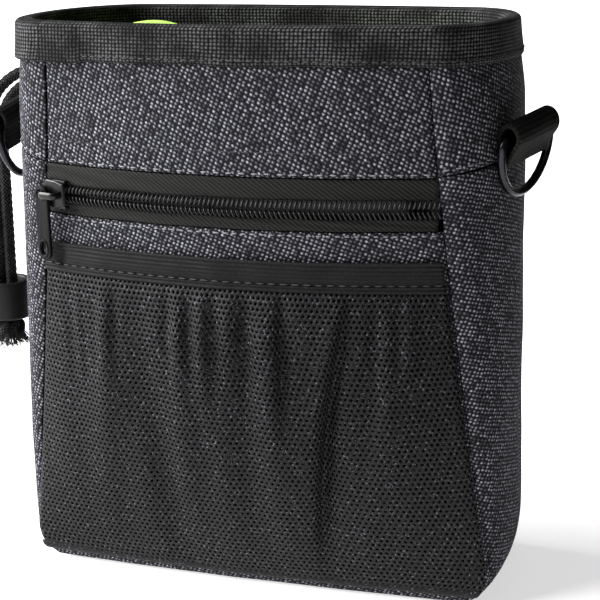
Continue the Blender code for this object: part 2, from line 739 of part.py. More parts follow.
# ---- D-rings and their webbing tabs -----------------------------------------------------------
# Each ring turns about its own straight bar, which lies in the fold of its tab. For each
# side: the bar's middle, its direction, which way is out, and how far the ring leans in.
RING_PLACES = {
    "right": (Vector((0.0732, -0.0155, 0.1322)), Vector((0.42, 0.90, 0.15)), 1.0, 4.0),
    "left": (Vector((-0.0755, -0.0090, 0.1305)), Vector((-0.04, 0.99, 0.10)), -1.0, 9.0),
}
ring_mid = 0.5 * (RING_INNER + RING_WIRE)


def ring_outline():
    """The D in its own plane: bar along X, bow hanging along -Z."""
    corner = 0.0022
    points = [(x, 0.0) for x in spread(-ring_mid + corner, ring_mid - corner, 6)]
    for side in (1.0, -1.0):
        turn = [(side * (ring_mid - corner + corner * sin(a)), -corner + corner * cos(a))
                for a in spread(0.0, 0.5 * pi, 5)[1:]]
        points += turn if side > 0 else []
        if side > 0:
            straight = 0.0040
            points += [(ring_mid * cos(a), -straight - (RING_DROP - straight) * sin(a))
                       for a in spread(0.0, pi, 19)]
        else:
            points += list(reversed(turn))
    return points


def tab_path():
    """The webbing's outer face in (out, up) about the bar: up from the seam, round and down."""
    low = -0.0078
    round_part = [(0.0005 + 0.0034 * cos(a), 0.0006 + 0.0038 * sin(a))
                  for a in spread(radians(-35), radians(215), 17)]
    inner_leg = [(-0.0022, -0.0050), (-0.0017, low)]
    outer_leg = [(-0.0001, low), (0.0012, -0.0050)]
    return outer_leg + round_part + inner_leg


for side, (middle, bar, sign, hang) in RING_PLACES.items():
    bar = bar.normalized()
    out = (Vector((sign, 0.0, 0.0)) - bar * bar.x * sign).normalized()
    up = out.cross(bar) * (1.0 if out.cross(bar).z > 0 else -1.0)
    axes = Matrix((bar, out, up)).transposed().to_4x4()
    ring = add_tube("d_ring_" + side, [Vector((x, 0.0, z)) for x, z in ring_outline()],
                    RING_WIRE, "black_metal", cyclic=True, sides=3)
    turned = axes if axes.determinant() > 0 else axes @ Matrix.Scale(-1.0, 4, (1.0, 0.0, 0.0))
    lean = Matrix.Rotation(radians(-hang), 4, "X")
    ring.matrix_world = Matrix.Translation(middle) @ turned @ lean
    rows = [[middle + bar * x * TAB_WIDTH + out * a + up * b for x in (-0.5, 0.0, 0.5)]
            for a, b in tab_path()]
    if sign < 0:
        rows = [list(reversed(row)) for row in rows]
    add_shell("d_ring_tab_" + side, rows, WEB, "webbing")

# ---- belt loop behind --------------------------------------------------------------------------
SEWN = 0.0080
RAMP = 0.0060


def belt_stand(z):
    """How far the loop's outer face stands off the back panel."""
    sewn = GAP + WEB
    inner = min(z - BELT_LOW, BELT_TOP - z)
    level = min(1.0, max(0.0, (inner - SEWN) / RAMP))
    return sewn + BELT_GAP * level


belt_heights = [BELT_LOW, BELT_LOW + SEWN, BELT_LOW + SEWN + RAMP,
                BELT_TOP - SEWN - RAMP, BELT_TOP - SEWN, BELT_TOP]
belt_rows = [[Vector((x, depth_half(z) + BACK_BULGE + belt_stand(z), z))
              for x in (BELT_HALF, 0.0, -BELT_HALF)] for z in belt_heights]
add_shell("belt_loop", belt_rows, WEB, "webbing")

for thing in PARTS.objects:
    if thing.type == "MESH" and thing.name in ("cord_stop", "cord_knot", "eyelet"):
        thing.data.shade_smooth()
bpy.context.view_layer.update()
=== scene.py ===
"""Treat pouch: a stand-up denim bag with a taped mouth, a zip pocket, a gathered net pocket,
a D-ring on each side and a drawstring. The pieces are made in the order they are sewn together.
"""
from math import asin, atan2, ceil, cos, exp, pi, radians, sin, sqrt
import random
import bmesh
import bpy
import numpy as np
from mathutils import Matrix, Vector, noise


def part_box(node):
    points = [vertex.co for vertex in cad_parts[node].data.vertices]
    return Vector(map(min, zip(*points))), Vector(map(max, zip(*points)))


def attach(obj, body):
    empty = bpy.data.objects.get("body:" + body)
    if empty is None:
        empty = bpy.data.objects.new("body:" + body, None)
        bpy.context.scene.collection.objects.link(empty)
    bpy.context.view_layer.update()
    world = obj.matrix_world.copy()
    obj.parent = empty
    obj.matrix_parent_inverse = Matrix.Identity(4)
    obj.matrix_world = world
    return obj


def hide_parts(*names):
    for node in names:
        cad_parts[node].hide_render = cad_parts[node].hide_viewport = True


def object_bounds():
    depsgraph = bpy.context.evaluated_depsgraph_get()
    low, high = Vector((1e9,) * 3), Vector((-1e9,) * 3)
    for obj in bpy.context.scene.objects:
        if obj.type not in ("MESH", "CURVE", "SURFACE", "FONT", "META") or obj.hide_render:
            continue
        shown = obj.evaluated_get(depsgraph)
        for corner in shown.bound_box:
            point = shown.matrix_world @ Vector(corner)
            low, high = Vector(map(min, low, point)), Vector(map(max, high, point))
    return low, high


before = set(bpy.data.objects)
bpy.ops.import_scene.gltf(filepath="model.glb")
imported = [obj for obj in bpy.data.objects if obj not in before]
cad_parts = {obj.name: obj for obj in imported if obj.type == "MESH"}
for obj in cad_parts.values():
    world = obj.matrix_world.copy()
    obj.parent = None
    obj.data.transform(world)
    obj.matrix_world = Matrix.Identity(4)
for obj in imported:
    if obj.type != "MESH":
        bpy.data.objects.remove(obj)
cad_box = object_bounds()

# ---- Where it stands ------------------------------------------------------------------------
# The pouch stands on a white paper sweep, seen from a little above and from its right. A wide
# soft light comes from its left, and a black card on its right keeps that side dark.
EYE = Vector((0.1157, -0.3779, 0.1858))
EYE_TURN = radians(15.93)
EYE_DOWN = radians(15.24)
EYE_TILT = radians(-0.45)
LENS = 84.6
PAPER_WHITE = (0.80, 0.80, 0.80, 1.0)
PAPER_GLOW = 0.76
KEY_FROM = radians(-73.0)  # round from the front, negative to the left
KEY_UP = radians(30.0)
KEY_WIDE = radians(50.0)
KEY_POWER = 10.4

scene = bpy.context.scene
scene.view_settings.view_transform = "Standard"


def add_node(tree, kind, links=None, **settings):
    """One node of a tree; links maps its sockets to a value or to another node's output."""
    made = tree.nodes.new(kind)
    for name, value in settings.items():
        setattr(made, name, value)
    for socket, value in (links or {}).items():
        if isinstance(value, bpy.types.NodeSocket):
            tree.links.new(value, made.inputs[socket])
        else:
            made.inputs[socket].default_value = value
    return made


def linear(colour):
    """A colour written as sRGB hex, such as 8a8a90, turned to linear with alpha."""
    parts = [int(colour[i:i + 2], 16) / 255.0 for i in (0, 2, 4)]
    return (*(c / 12.92 if c <= 0.04045 else ((c + 0.055) / 1.055) ** 2.4 for c in parts), 1.0)


def in_scene(name, data):
    """A new object of the scene, at the origin and unturned."""
    thing = bpy.data.objects.new(name, data)
    scene.collection.objects.link(thing)
    return thing


camera_lens = bpy.data.cameras.new("camera")
camera_lens.lens = LENS
camera_lens.sensor_width = 36.0
camera_lens.clip_start = 0.01
camera = in_scene("camera", camera_lens)
camera.matrix_world = (Matrix.Translation(EYE) @ Matrix.Rotation(EYE_TURN, 4, "Z")
                       @ Matrix.Rotation(0.5 * pi - EYE_DOWN, 4, "X")
                       @ Matrix.Rotation(EYE_TILT, 4, "Z"))
scene.camera = camera

world = bpy.data.worlds.new("white_walls")
world.use_nodes = True
world.node_tree.nodes["Background"].inputs["Color"].default_value = (1.0, 1.0, 1.0, 1.0)
world.node_tree.nodes["Background"].inputs["Strength"].default_value = 0.18
scene.world = world

key = bpy.data.lights.new("key_left", "SUN")
key.energy = KEY_POWER
key.angle = KEY_WIDE
key_lamp = in_scene("key_left", key)
key_from = Vector((sin(KEY_FROM) * cos(KEY_UP), -cos(KEY_FROM) * cos(KEY_UP), sin(KEY_UP)))
key_lamp.matrix_world = key_from.to_track_quat("Z", "Y").to_matrix().to_4x4()


def new_material(name, roughness):
    """A new material, its tree and its shader."""
    material = bpy.data.materials.new(name)
    material.use_nodes = True
    shader = material.node_tree.nodes["Principled BSDF"]
    shader.inputs["Roughness"].default_value = roughness
    return material, material.node_tree, shader


def studio_sheet(name, corners, colour, glow):
    """A flat sheet that is part of the studio and not of the pouch."""
    data = bpy.data.meshes.new(name)
    data.from_pydata(corners, [], [(0, 1, 2, 3)])
    material, _, shader = new_material(name, 0.9)
    shader.inputs["Base Color"].default_value = colour
    shader.inputs["Specular IOR Level"].default_value = 0.1
    shader.inputs["Emission Color"].default_value = colour
    shader.inputs["Emission Strength"].default_value = glow
    data.materials.append(material)
    sheet = in_scene(name, data)
    return sheet


ground = cad_box[0][2] - 0.0002
studio_sheet("paper_sweep", [(-6.0, -3.0, ground), (6.0, -3.0, ground), (6.0, 9.0, ground),
                             (-6.0, 9.0, ground)], PAPER_WHITE, PAPER_GLOW)
black_card = studio_sheet("black_card", [
    (0.26, 0.30, 0.0), (0.26, -0.75, 0.0), (0.26, -0.75, 0.70), (0.26, 0.30, 0.70)],
    (0.01, 0.01, 0.01, 1.0), 0.0)
black_card.visible_camera = False  # it only shades the right side, whatever the view

# ---- Denim shell ----------------------------------------------------------------------------
# Eight pieces of charcoal melange denim, 1.4 mm thick: two front panels with the zip between
# them, the back, an upper and a lower gusset each side, and the base. They are sewn face to
# face and turned, so every seam is a narrow groove between two rolled edges.
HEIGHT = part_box("rim_binding")[1][2]
FRONT_HALF_BASE = 0.0697  # half the width between the front seams
FRONT_HALF_TOP = 0.0507
FLARE = 1.3
SIDE_HALF_BASE = 0.0728   # half the width over the gussets
SIDE_HALF_TOP = 0.0693
DEPTH_HALF_BASE = 0.0223  # half the depth between the front and back seams
DEPTH_HALF_TOP = 0.0371
CORNER = 0.012
TUCK_HEIGHT = 0.020       # below this the gusset draws in towards the base
BACK_BULGE = 0.003
BULGE_BASE = 0.002        # how far the front bows out at the base, at the zip and at the mouth
BULGE_ZIP = 0.010
BULGE_TOP = 0.007
CLOTH = 0.0014
GAP = 0.0003
ZIP_Z = 0.114
TAPE_TOP = 0.0079
TAPE_BOTTOM = 0.0056
SEAM_Z = 0.1223
SEAM_RISE = 0.0085
SEAM_ROLL = 0.0013        # radius of a panel's rolled edge
BINDING_HEIGHT = 0.0100
BINDING_LOW = HEIGHT - BINDING_HEIGHT
MOUTH_DRAW = 0.0018       # how far the binding draws each side of the mouth in
PINCH = 0.0006            # how far it presses the cloth in under itself
MM = 1000.0


def corner_inset(z):
    """How far the lower corners' rounding draws a side in at a height."""
    if z >= CORNER:
        return 0.0
    return CORNER - sqrt(max(CORNER ** 2 - (CORNER - z) ** 2, 0.0))


def tuck(z):
    """The gusset's share of its full reach, which closes down to nothing at the floor."""
    return 1.0 if z >= TUCK_HEIGHT else 1.0 - (1.0 - z / TUCK_HEIGHT) ** 2


def ease(value, low, high):
    """0 below low, 1 above high and a smooth step between them."""
    level = min(1.0, max(0.0, (value - low) / (high - low)))
    return level * level * (3.0 - 2.0 * level)


def front_half(z):
    """Half the width between the front seams; they lean in towards the mouth."""
    level = max(0.0, 1.0 - z / HEIGHT)
    return FRONT_HALF_TOP + (FRONT_HALF_BASE - FRONT_HALF_TOP) * level ** FLARE - corner_inset(z)


def side_half(z):
    drawn = MOUTH_DRAW * ease(z, 0.138, HEIGHT)
    return SIDE_HALF_BASE + (SIDE_HALF_TOP - SIDE_HALF_BASE) * (z / HEIGHT) ** 2 - drawn


def depth_half(z):
    return DEPTH_HALF_BASE + (DEPTH_HALF_TOP - DEPTH_HALF_BASE) * z / HEIGHT


def front_bulge(z):
    if z < ZIP_Z:
        return BULGE_BASE + (BULGE_ZIP - BULGE_BASE) * sin(0.5 * pi * z / ZIP_Z)
    return BULGE_ZIP + (BULGE_TOP - BULGE_ZIP) * ease(z, ZIP_Z, HEIGHT)


def bow(x, half, bulge):
    """How far an arc of this half chord and bulge stands out at x."""
    radius = (half * half + bulge * bulge) / (2.0 * bulge)
    return bulge - radius + sqrt(max(radius * radius - x * x, 0.0))


def uneven(*place):
    """Smooth noise from -1 to 1; each part of the place is counted in lumps."""
    return noise.noise(Vector(place))


def pucker(x, z, seed):
    """The cloth's own unevenness, in metres; none along the zip, which the slider runs on."""
    away = ease(abs(z - ZIP_Z), 0.009, 0.022)
    slow = uneven(x / 0.026, z / 0.034, seed)
    quick = uneven(x / 0.010, z / 0.013, seed + 7.0)
    return away * (0.00045 * slow + 0.00016 * quick)


def rolled(distance, radius):
    """How far a cloth edge has turned in, at a distance from its seam."""
    if distance >= radius:
        return 0.0
    return radius - sqrt(max(radius ** 2 - (radius - distance) ** 2, 0.0))


def front_point(x, z, out=0.0):
    y = -depth_half(z) - bow(x, front_half(z) + corner_inset(z), front_bulge(z))
    return Vector((x, y - out - pucker(x, z, 1.0), z))


def back_point(x, z, out=0.0):
    y = depth_half(z) + bow(x, front_half(z) + corner_inset(z), BACK_BULGE)
    return Vector((x, y + out + pucker(x, z, 3.0), z))


def gusset_point(turn, z, inset=0.0):
    """Right gusset, from the front seam (turn 0) round to the back seam (turn pi)."""
    reach = side_half(z) - front_half(z) - corner_inset(z)
    x = front_half(z) - inset + reach * sin(turn) * tuck(z)
    return Vector((x, -(depth_half(z) - inset) * cos(turn), z))


def mirrored(point):
    return Vector((-point.x, point.y, point.z))


def pinch(z):
    """How far the cloth is pressed in where the binding covers it."""
    return PINCH * ease(z, BINDING_LOW - 0.0002, BINDING_LOW + 0.0009)


def spread(low, high, count):
    return [low + (high - low) * i / (count - 1) for i in range(count)]


def near_edges(low, high, count, radius):
    """Evenly spread values, with more of them within a radius of both ends."""
    turns = [radius * (1.0 - cos(0.5 * pi * i / 5)) for i in range(5)]
    inner = spread(low + radius, high - radius, count)
    return [low + t for t in turns] + inner + [high - t for t in reversed(turns)]


def cloth_mesh(name, rows, closed=False):
    """Quads between rows of points. Its map, in millimetres, runs along each row and up."""
    points = np.array([[tuple(point) for point in row] for row in rows])
    high, wide = points.shape[:2]
    along = np.zeros((high, wide + 1))
    ring = np.concatenate([points, points[:, :1]], axis=1)
    along[:, 1:] = np.cumsum(np.linalg.norm(np.diff(ring, axis=1), axis=2), axis=1)
    middle = wide // 2
    if not closed:
        along -= along[:, middle:middle + 1]
    up = np.zeros(high)
    up[1:] = np.cumsum(np.linalg.norm(np.diff(points[:, middle], axis=0), axis=1))
    last = wide if closed else wide - 1
    faces, flat = [], []
    for j in range(high - 1):
        for i in range(last):
            k = (i + 1) % wide
            faces.append((j * wide + i, j * wide + k, (j + 1) * wide + k, (j + 1) * wide + i))
            flat += [(along[j, i], up[j]), (along[j, i + 1], up[j]),
                     (along[j + 1, i + 1], up[j + 1]), (along[j + 1, i], up[j + 1])]
    data = bpy.data.meshes.new(name)
    data.from_pydata([tuple(p) for p in points.reshape(-1, 3)], [], faces)
    cloth_map = data.uv_layers.new(name="cloth")
    cloth_map.data.foreach_set("uv", (np.array(flat) * MM).ravel())
    data.shade_smooth()
    return data


def add_piece(name, data, material, node=None, body="pouch"):
    """A finished piece in the scene: it rides on its body and hides its frame node."""
    thing = in_scene(name, data)
    data.materials.clear()
    data.materials.append(material)
    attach(thing, body)
    if node:
        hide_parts(node)
    return thing


def thicken(thing, thickness):
    wall = thing.modifiers.new("wall", "SOLIDIFY")
    wall.thickness = thickness
    wall.offset = -1.0
    return thing


def cloth_piece(name, rows, material, node, thickness, closed=False):
    """A cloth of even thickness whose outer face runs through the rows."""
    return thicken(add_piece(name, cloth_mesh(name, rows, closed), material, node),
                   thickness)


def declare_cut(thing, solid=False):
    """Works out what flat size a cloth was cut to: its widest row, its height and its area; the
    values are not kept or passed on.
    """
    data = thing.data
    flat = np.empty(2 * len(data.loops))
    data.uv_layers["cloth"].data.foreach_get("uv", flat)
    wide, high = (np.ptp(flat.reshape(-1, 2), axis=0) / MM).tolist()
    area = sum(face.area for face in data.polygons)
    if solid:
        area, high = 0.5 * area, 0.5 * high


def woven(name, roughness):
    """A new cloth material, its tree, its shader and its map in millimetres."""
    material, tree, shader = new_material(name, roughness)
    return material, tree, shader, add_node(tree, "ShaderNodeUVMap", uv_map="cloth").outputs["UV"]


def grain(tree, place, scale, detail, roughness=0.5):
    """Cloudy noise from 0 to 1 over a place."""
    return add_node(tree, "ShaderNodeTexNoise", {
        "Vector": place, "Scale": scale, "Detail": detail, "Roughness": roughness}).outputs[0]


def cells(tree, place, scale, randomness, dimensions="2D"):
    """Scattered cells: the distance from each one's middle, and a random colour for each."""
    found = add_node(tree, "ShaderNodeTexVoronoi", {
        "Vector": place, "Scale": scale, "Randomness": randomness},
        voronoi_dimensions=dimensions)
    chance = add_node(tree, "ShaderNodeSeparateColor", {"Color": found.outputs["Color"]})
    return found.outputs["Distance"], chance


def levels(tree, value, low, high, to_low=0.0, to_high=1.0, curve="LINEAR"):
    """A value between low and high, stretched to run from to_low to to_high."""
    return add_node(tree, "ShaderNodeMapRange", {
        "Value": value, "From Min": low, "From Max": high, "To Min": to_low,
        "To Max": to_high}, interpolation_type=curve).outputs[0]


def times(tree, first, second, clamp=False):
    return add_node(tree, "ShaderNodeMath", {0: first, 1: second}, operation="MULTIPLY",
                    use_clamp=clamp).outputs[0]


def blend(tree, level, dark, bright):
    """From a dark colour to a bright one; each is sRGB hex or another node's output."""
    dark, bright = (linear(c) if isinstance(c, str) else c for c in (dark, bright))
    return add_node(tree, "ShaderNodeMix", {0: level, 6: dark, 7: bright},
                    data_type="RGBA").outputs[2]


def surface(tree, shader, colour, height, strength, depth, shine=None, over=None):
    """Gives the shader its colour, its relief in metres and how much it shines."""
    bump = add_node(tree, "ShaderNodeBump", {
        "Height": height, "Strength": strength, "Distance": depth})
    if over:
        tree.links.new(over, bump.inputs["Normal"])
    tree.links.new(colour, shader.inputs["Base Color"])
    tree.links.new(bump.outputs[0], shader.inputs["Normal"])
    if shine is not None:
        shader.inputs["Specular IOR Level"].default_value = shine


UPPER_TWILL = ((1.12, -0.57), (0.38, 0.98))  # mm to the next float along a line, and across
LOWER_TWILL = ((1.10, -0.38), (0.40, 0.98))
GUSSET_TWILL = ((1.14, -0.40), (0.28, 1.00))
DENIM_DARK = "0b0b0d"
DENIM_MID = "202024"
DENIM_LIGHT = "a8a8b2"


def melange_denim(name, lattice):
    """Twill: each light float is one raised dot of undyed thread on a black ground. The real
    threads are finer; these are the groups of them that the eye sees."""
    material, tree, shader, cloth_map = woven(name, 0.92)
    (ax, ay), (bx, by) = lattice
    area = ax * by - bx * ay
    steps = [add_node(tree, "ShaderNodeVectorMath", {0: cloth_map, 1: axis},
                      operation="DOT_PRODUCT").outputs["Value"]
             for axis in ((by / area, -bx / area, 0.0), (-ay / area, ax / area, 0.0))]
    twill = add_node(tree, "ShaderNodeCombineXYZ", {"X": steps[0], "Y": steps[1]})
    away, chance = cells(tree, twill.outputs[0], 1.0, 0.28)
    dot = levels(tree, away, 0.08, 0.46, 1.0, 0.0, "SMOOTHSTEP")
    light = times(tree, dot, levels(tree, chance.outputs["Red"], 0.0, 1.0, 0.10, 1.0))
    stretched = add_node(tree, "ShaderNodeMapping", {
        "Vector": cloth_map, "Scale": (0.9, 0.11, 1.0)})
    slub = grain(tree, stretched.outputs[0], 1.0, 3.0, 0.6)
    light = times(tree, light, levels(tree, slub, 0.3, 0.7, 0.45, 1.25), clamp=True)
    fibre = grain(tree, cloth_map, 2.6, 4.0, 0.75)
    ground = blend(tree, levels(tree, fibre, 0.35, 0.68), DENIM_DARK, DENIM_MID)
    relief = add_node(tree, "ShaderNodeMath", {0: fibre, 1: 0.35, 2: dot},
                      operation="MULTIPLY_ADD")
    surface(tree, shader, blend(tree, light, ground, DENIM_LIGHT), relief.outputs[0],
            0.75, 0.00035, 0.12)
    return material


def panel_rows(face, low, high, count, side=1.0, folded=()):
    """Rows of a front or back panel. Its sides roll into the seams, and so do the edges
    named in folded, which are turned under beside the zip."""
    rows = []
    fold = 0.0007
    for z in near_edges(low, high, count, fold):
        half = front_half(z) - 0.5 * GAP
        row = []
        for u in near_edges(-1.0, 1.0, 74, SEAM_ROLL / half):
            inset = rolled((1.0 - abs(u)) * half, SEAM_ROLL)
            if "low" in folded:
                inset = max(inset, rolled(z - low, fold))
            if "high" in folded:
                inset = max(inset, rolled(high - z, fold))
            if low < CORNER:
                inset = max(inset, rolled(z - low, 0.0022))
            row.append(face(side * u * half, z, -inset - pinch(z)))
        rows.append(row)
    return rows


ZIP_TOP = ZIP_Z + TAPE_TOP + GAP
ZIP_LOW = ZIP_Z - TAPE_BOTTOM - GAP
PANEL_TOP = HEIGHT - 0.0012
# One denim cut on two slants: for the front above the zip and the back, and for all below.
denim_upper = melange_denim("denim_twill_shallow", UPPER_TWILL)
denim_lower = melange_denim("denim_twill_steep", LOWER_TWILL)

front_upper = cloth_piece("front_upper_cloth", panel_rows(
    front_point, ZIP_TOP, PANEL_TOP, 26, folded=("low",)), denim_upper,
    "front_upper_panel", CLOTH)
front_lower = cloth_piece("front_lower_cloth", panel_rows(
    front_point, GAP, ZIP_LOW, 66, folded=("high",)), denim_lower,
    "front_lower_panel", CLOTH)
back = cloth_piece("back_cloth", panel_rows(
    back_point, GAP, PANEL_TOP, 80, side=-1.0), denim_upper, "back_panel", CLOTH)

GUSSET_INSET = CLOTH + 3 * GAP
CREASE_TURN = 1.72        # a soft upright crease behind the middle of the lower gusset
CREASE_DEEP = 0.0011


def gusset_face(turn, z, low, high, seed):
    """The gusset's face: rolled into the front and back seams and into the cross seam."""
    point = gusset_point(turn, z)
    narrow = min(1.0, max(0.0, (0.040 - z) / 0.028))
    y = point.y * (1.0 - narrow * GUSSET_INSET / depth_half(z))
    seam_distance = min(turn, pi - turn) * depth_half(z)
    inset = max(rolled(seam_distance, SEAM_ROLL), rolled(abs(z - low), 0.0008),
                rolled(abs(high - z), 0.0008))
    crease = CREASE_DEEP * exp(-((turn - CREASE_TURN) / 0.20) ** 2) * ease(z, 0.012, 0.05)
    inset += crease * (1.0 - ease(z, 0.095, 0.120))
    lumps = pucker(y, z, seed) * sin(turn) * ease(z, 0.008, 0.030)
    return Vector((point.x - inset - pinch(z) * sin(turn) + lumps, y, z))


def seam_height(turn):
    """The cross seam rises a little from the front seam to the back seam."""
    return SEAM_Z + SEAM_RISE * turn / pi


def gusset_rows(upper, seed):
    rows = []
    turns = near_edges(0.02, pi - 0.02, 46, 0.045)
    if upper:
        steps = near_edges(0.0, 1.0, 18, 0.03)
    else:
        steps = near_edges(0.0, 1.0, 62, 0.012)
    for part in steps:
        row = []
        for turn in turns:
            seam = seam_height(turn)
            low = seam + 0.5 * GAP if upper else 0.0005
            high = PANEL_TOP if upper else seam - 0.5 * GAP
            z = low + (high - low) * part
            row.append(gusset_face(turn, z, low if upper else -1.0, 1.0 if upper else high, seed))
        rows.append(row)
    return rows


def left_side(rows):
    return [[mirrored(point) for point in reversed(row)] for row in rows]


# The same denim as it lies on the upper gussets.
denim_level = melange_denim("denim_twill_level", GUSSET_TWILL)
for side, seed in (("right", 11.0), ("left", 17.0)):
    for level, material in (("upper", denim_level), ("lower", denim_lower)):
        rows = gusset_rows(level == "upper", seed)
        rows = rows if side == "right" else left_side(rows)
        name = "gusset_" + side + "_" + level
        declare_cut(cloth_piece(name + "_cloth", rows, material, name, CLOTH))

BASE_HALF = FRONT_HALF_BASE - CORNER - 2 * GAP
BASE_DEPTH = DEPTH_HALF_BASE - GUSSET_INSET
base_rows = [[Vector((x, y, 0.0001 + 0.0002 * (1.0 + uneven(x / 0.02, y / 0.02, 0.0))))
              for x in spread(-BASE_HALF, BASE_HALF, 60)]
             for y in spread(BASE_DEPTH, -BASE_DEPTH, 24)]
base = cloth_piece("base_cloth", base_rows, denim_lower, "base_panel", CLOTH)
for panel in (front_upper, front_lower, back, base):
    declare_cut(panel)

# ---- Topstitching ---------------------------------------------------------------------------
# Lockstitch in a 0.4 mm spun polyester thread. Each stitch is a short rounded float that
# sinks into the cloth at both ends; light thread on the denim, black on the tapes.
STITCH_THREAD = 0.00042


def named_tree(name, inputs):
    """An empty geometry tree with its inputs; returns the tree and its input and output."""
    tree = bpy.data.node_groups.new(name, "GeometryNodeTree")
    tree.interface.new_socket("Geometry", in_out="INPUT", socket_type="NodeSocketGeometry")
    for label, kind in inputs:
        tree.interface.new_socket(label, in_out="INPUT", socket_type="NodeSocket" + kind)
    tree.interface.new_socket("Geometry", in_out="OUTPUT", socket_type="NodeSocketGeometry")
    return tree, add_node(tree, "NodeGroupInput"), add_node(tree, "NodeGroupOutput")


def plain_mesh(holder, name):
    """The mesh that an object's curve or modifiers make; the object itself goes."""
    graph = bpy.context.evaluated_depsgraph_get()
    made = bpy.data.meshes.new_from_object(holder.evaluated_get(graph), depsgraph=graph)
    made.name = name
    bpy.data.objects.remove(holder, do_unlink=True)
    return made


def run_tree(name, data, tree, values):
    """Runs a geometry tree on a curve or mesh and gives back the plain mesh that it makes."""
    holder = in_scene(name, data)
    step = holder.modifiers.new("tree", "NODES")
    step.node_group = tree
    sockets = {item.name: item.identifier for item in tree.interface.items_tree
               if item.in_out == "INPUT"}
    for label, value in values.items():
        step[sockets[label]] = value
    return plain_mesh(holder, name)


def path_curve(name, paths, closed=False):
    """A curve object's data with one plain line for each path."""
    curve = bpy.data.curves.new(name, "CURVE")
    curve.dimensions = "3D"
    for path in paths:
        spline = curve.splines.new("POLY")
        spline.points.add(len(path) - 1)
        spline.use_cyclic_u = closed
        for knot, point in zip(spline.points, path):
            knot.co = (*point, 1.0)
    return curve


def copies_along(tree, start, finish, one, turn_axis, pivot="AUTO", size=(1.0, 1.0, 1.0)):
    """A copy of one shape at every Pitch of the curve, turned along it, made real, painted."""
    places = add_node(tree, "GeometryNodeCurveToPoints", {
        "Curve": start.outputs["Geometry"], "Length": start.outputs["Pitch"]}, mode="LENGTH")
    turn = add_node(tree, "FunctionNodeAlignRotationToVector", {
        "Vector": places.outputs["Tangent"]}, axis=turn_axis, pivot_axis=pivot)
    copies = add_node(tree, "GeometryNodeInstanceOnPoints", {
        "Points": places.outputs["Points"], "Instance": one, "Rotation": turn.outputs[0],
        "Scale": size})
    real = add_node(tree, "GeometryNodeRealizeInstances", {"Geometry": copies.outputs[0]})
    smooth = add_node(tree, "GeometryNodeSetShadeSmooth", {"Geometry": real.outputs[0]})
    painted = add_node(tree, "GeometryNodeSetMaterial", {
        "Geometry": smooth.outputs[0], "Material": start.outputs["Material"]})
    tree.links.new(painted.outputs[0], finish.inputs["Geometry"])


stitch_tree, stitch_in, stitch_out = named_tree("row_of_stitches", [
    ("Pitch", "Float"), ("Length", "Float"), ("Thread", "Float"), ("Material", "Material")])
stitch_half, thread_half = (times(stitch_tree, stitch_in.outputs[label], 0.5)
                            for label in ("Length", "Thread"))
stitch_size = add_node(stitch_tree, "ShaderNodeCombineXYZ", {
    "X": thread_half, "Y": thread_half, "Z": stitch_half})
stitch_bead = add_node(stitch_tree, "GeometryNodeMeshUVSphere", {
    "Segments": 8, "Rings": 6, "Radius": 1.0})
copies_along(stitch_tree, stitch_in, stitch_out, stitch_bead.outputs["Mesh"], "Z",
             size=stitch_size.outputs[0])


def sewing_thread(name, colour, bright):
    """Spun polyester thread: matt, with the fine twist showing as a change of shade."""
    material, tree, shader = new_material(name, 0.75)
    place = add_node(tree, "ShaderNodeTexCoord").outputs["Object"]
    shade = blend(tree, grain(tree, place, 2600.0, 2.0), colour, bright)
    tree.links.new(shade, shader.inputs["Base Color"])
    return material


grey_thread = sewing_thread("grey_sewing_thread", "4c4c50", "9a9aa2")
black_thread = sewing_thread("black_sewing_thread", "121213", "3c3c3e")


def stitch_row(name, paths, material, pitch=0.0026, length=0.0021):
    return add_piece(name, run_tree(name, path_curve(name, paths), stitch_tree, {
        "Pitch": pitch, "Length": length, "Thread": STITCH_THREAD, "Material": material}),
        material)


def across_front(z, out, margin=0.0025, count=60):
    half = front_half(z) - margin
    return [front_point(u * half, z, out) for u in spread(-1.0, 1.0, count)]


def cross_seam(sign):
    """Just below the cross seam, where the upper gusset is laid over and sewn down."""
    path = []
    for turn in spread(0.12, pi - 0.12, 40):
        point = gusset_face(turn, seam_height(turn) + 0.0016, -1.0, 1.0, 11.0)
        path.append(Vector((sign * (point.x + 0.0001), point.y, point.z)))
    return path


stitch_row("zip_topstitching", [across_front(ZIP_TOP + 0.0009, 0.00010)], grey_thread,
           0.0033, 0.0017)
stitch_row("zip_lower_stitching", [across_front(ZIP_LOW - 0.0009, 0.00006)], grey_thread,
           0.0024, 0.0014)
stitch_row("hem_stitching", [across_front(0.1285, -0.00010)], black_thread, 0.0030, 0.0022)
stitch_row("gusset_stitching", [cross_seam(1.0), cross_seam(-1.0)], grey_thread, 0.0033, 0.0018)

# ---- Mouth binding --------------------------------------------------------------------------
# A 24 mm grosgrain tape folded over the raw top edge and sewn through near its lower edge.
# Its ribs cross the tape, so on the bag they stand upright, as columns of small raised beads.
BINDING = 0.0009
BINDING_FIT = PINCH - 0.0004
BINDING_OUT = BINDING - BINDING_FIT
BINDING_IN = CLOTH + PINCH + GAP + BINDING + 0.0002
LAP = 0.0005              # the tape's end laps over its start at the left front corner
RIB_PITCH = 1.08          # mm between upright ribs
BEAD_PITCH = 0.92         # mm between beads up a rib


def mouth_ring(z, inset, columns=90, turns=44):
    """Closed plan outline at a height, drawn in on every side by the inset."""
    half = front_half(z) - inset
    across = spread(-1.0, 1.0, columns)
    front = [Vector((u * half, front_point(u * front_half(z), z).y + inset, z)) for u in across]
    right = [gusset_point(turn, z, inset) for turn in spread(0.0, pi, turns)[1:-1]]
    rear = [Vector((-u * half, back_point(u * front_half(z), z).y - inset, z)) for u in across]
    left = [mirrored(point) for point in reversed(right)]
    return front + right + rear + left


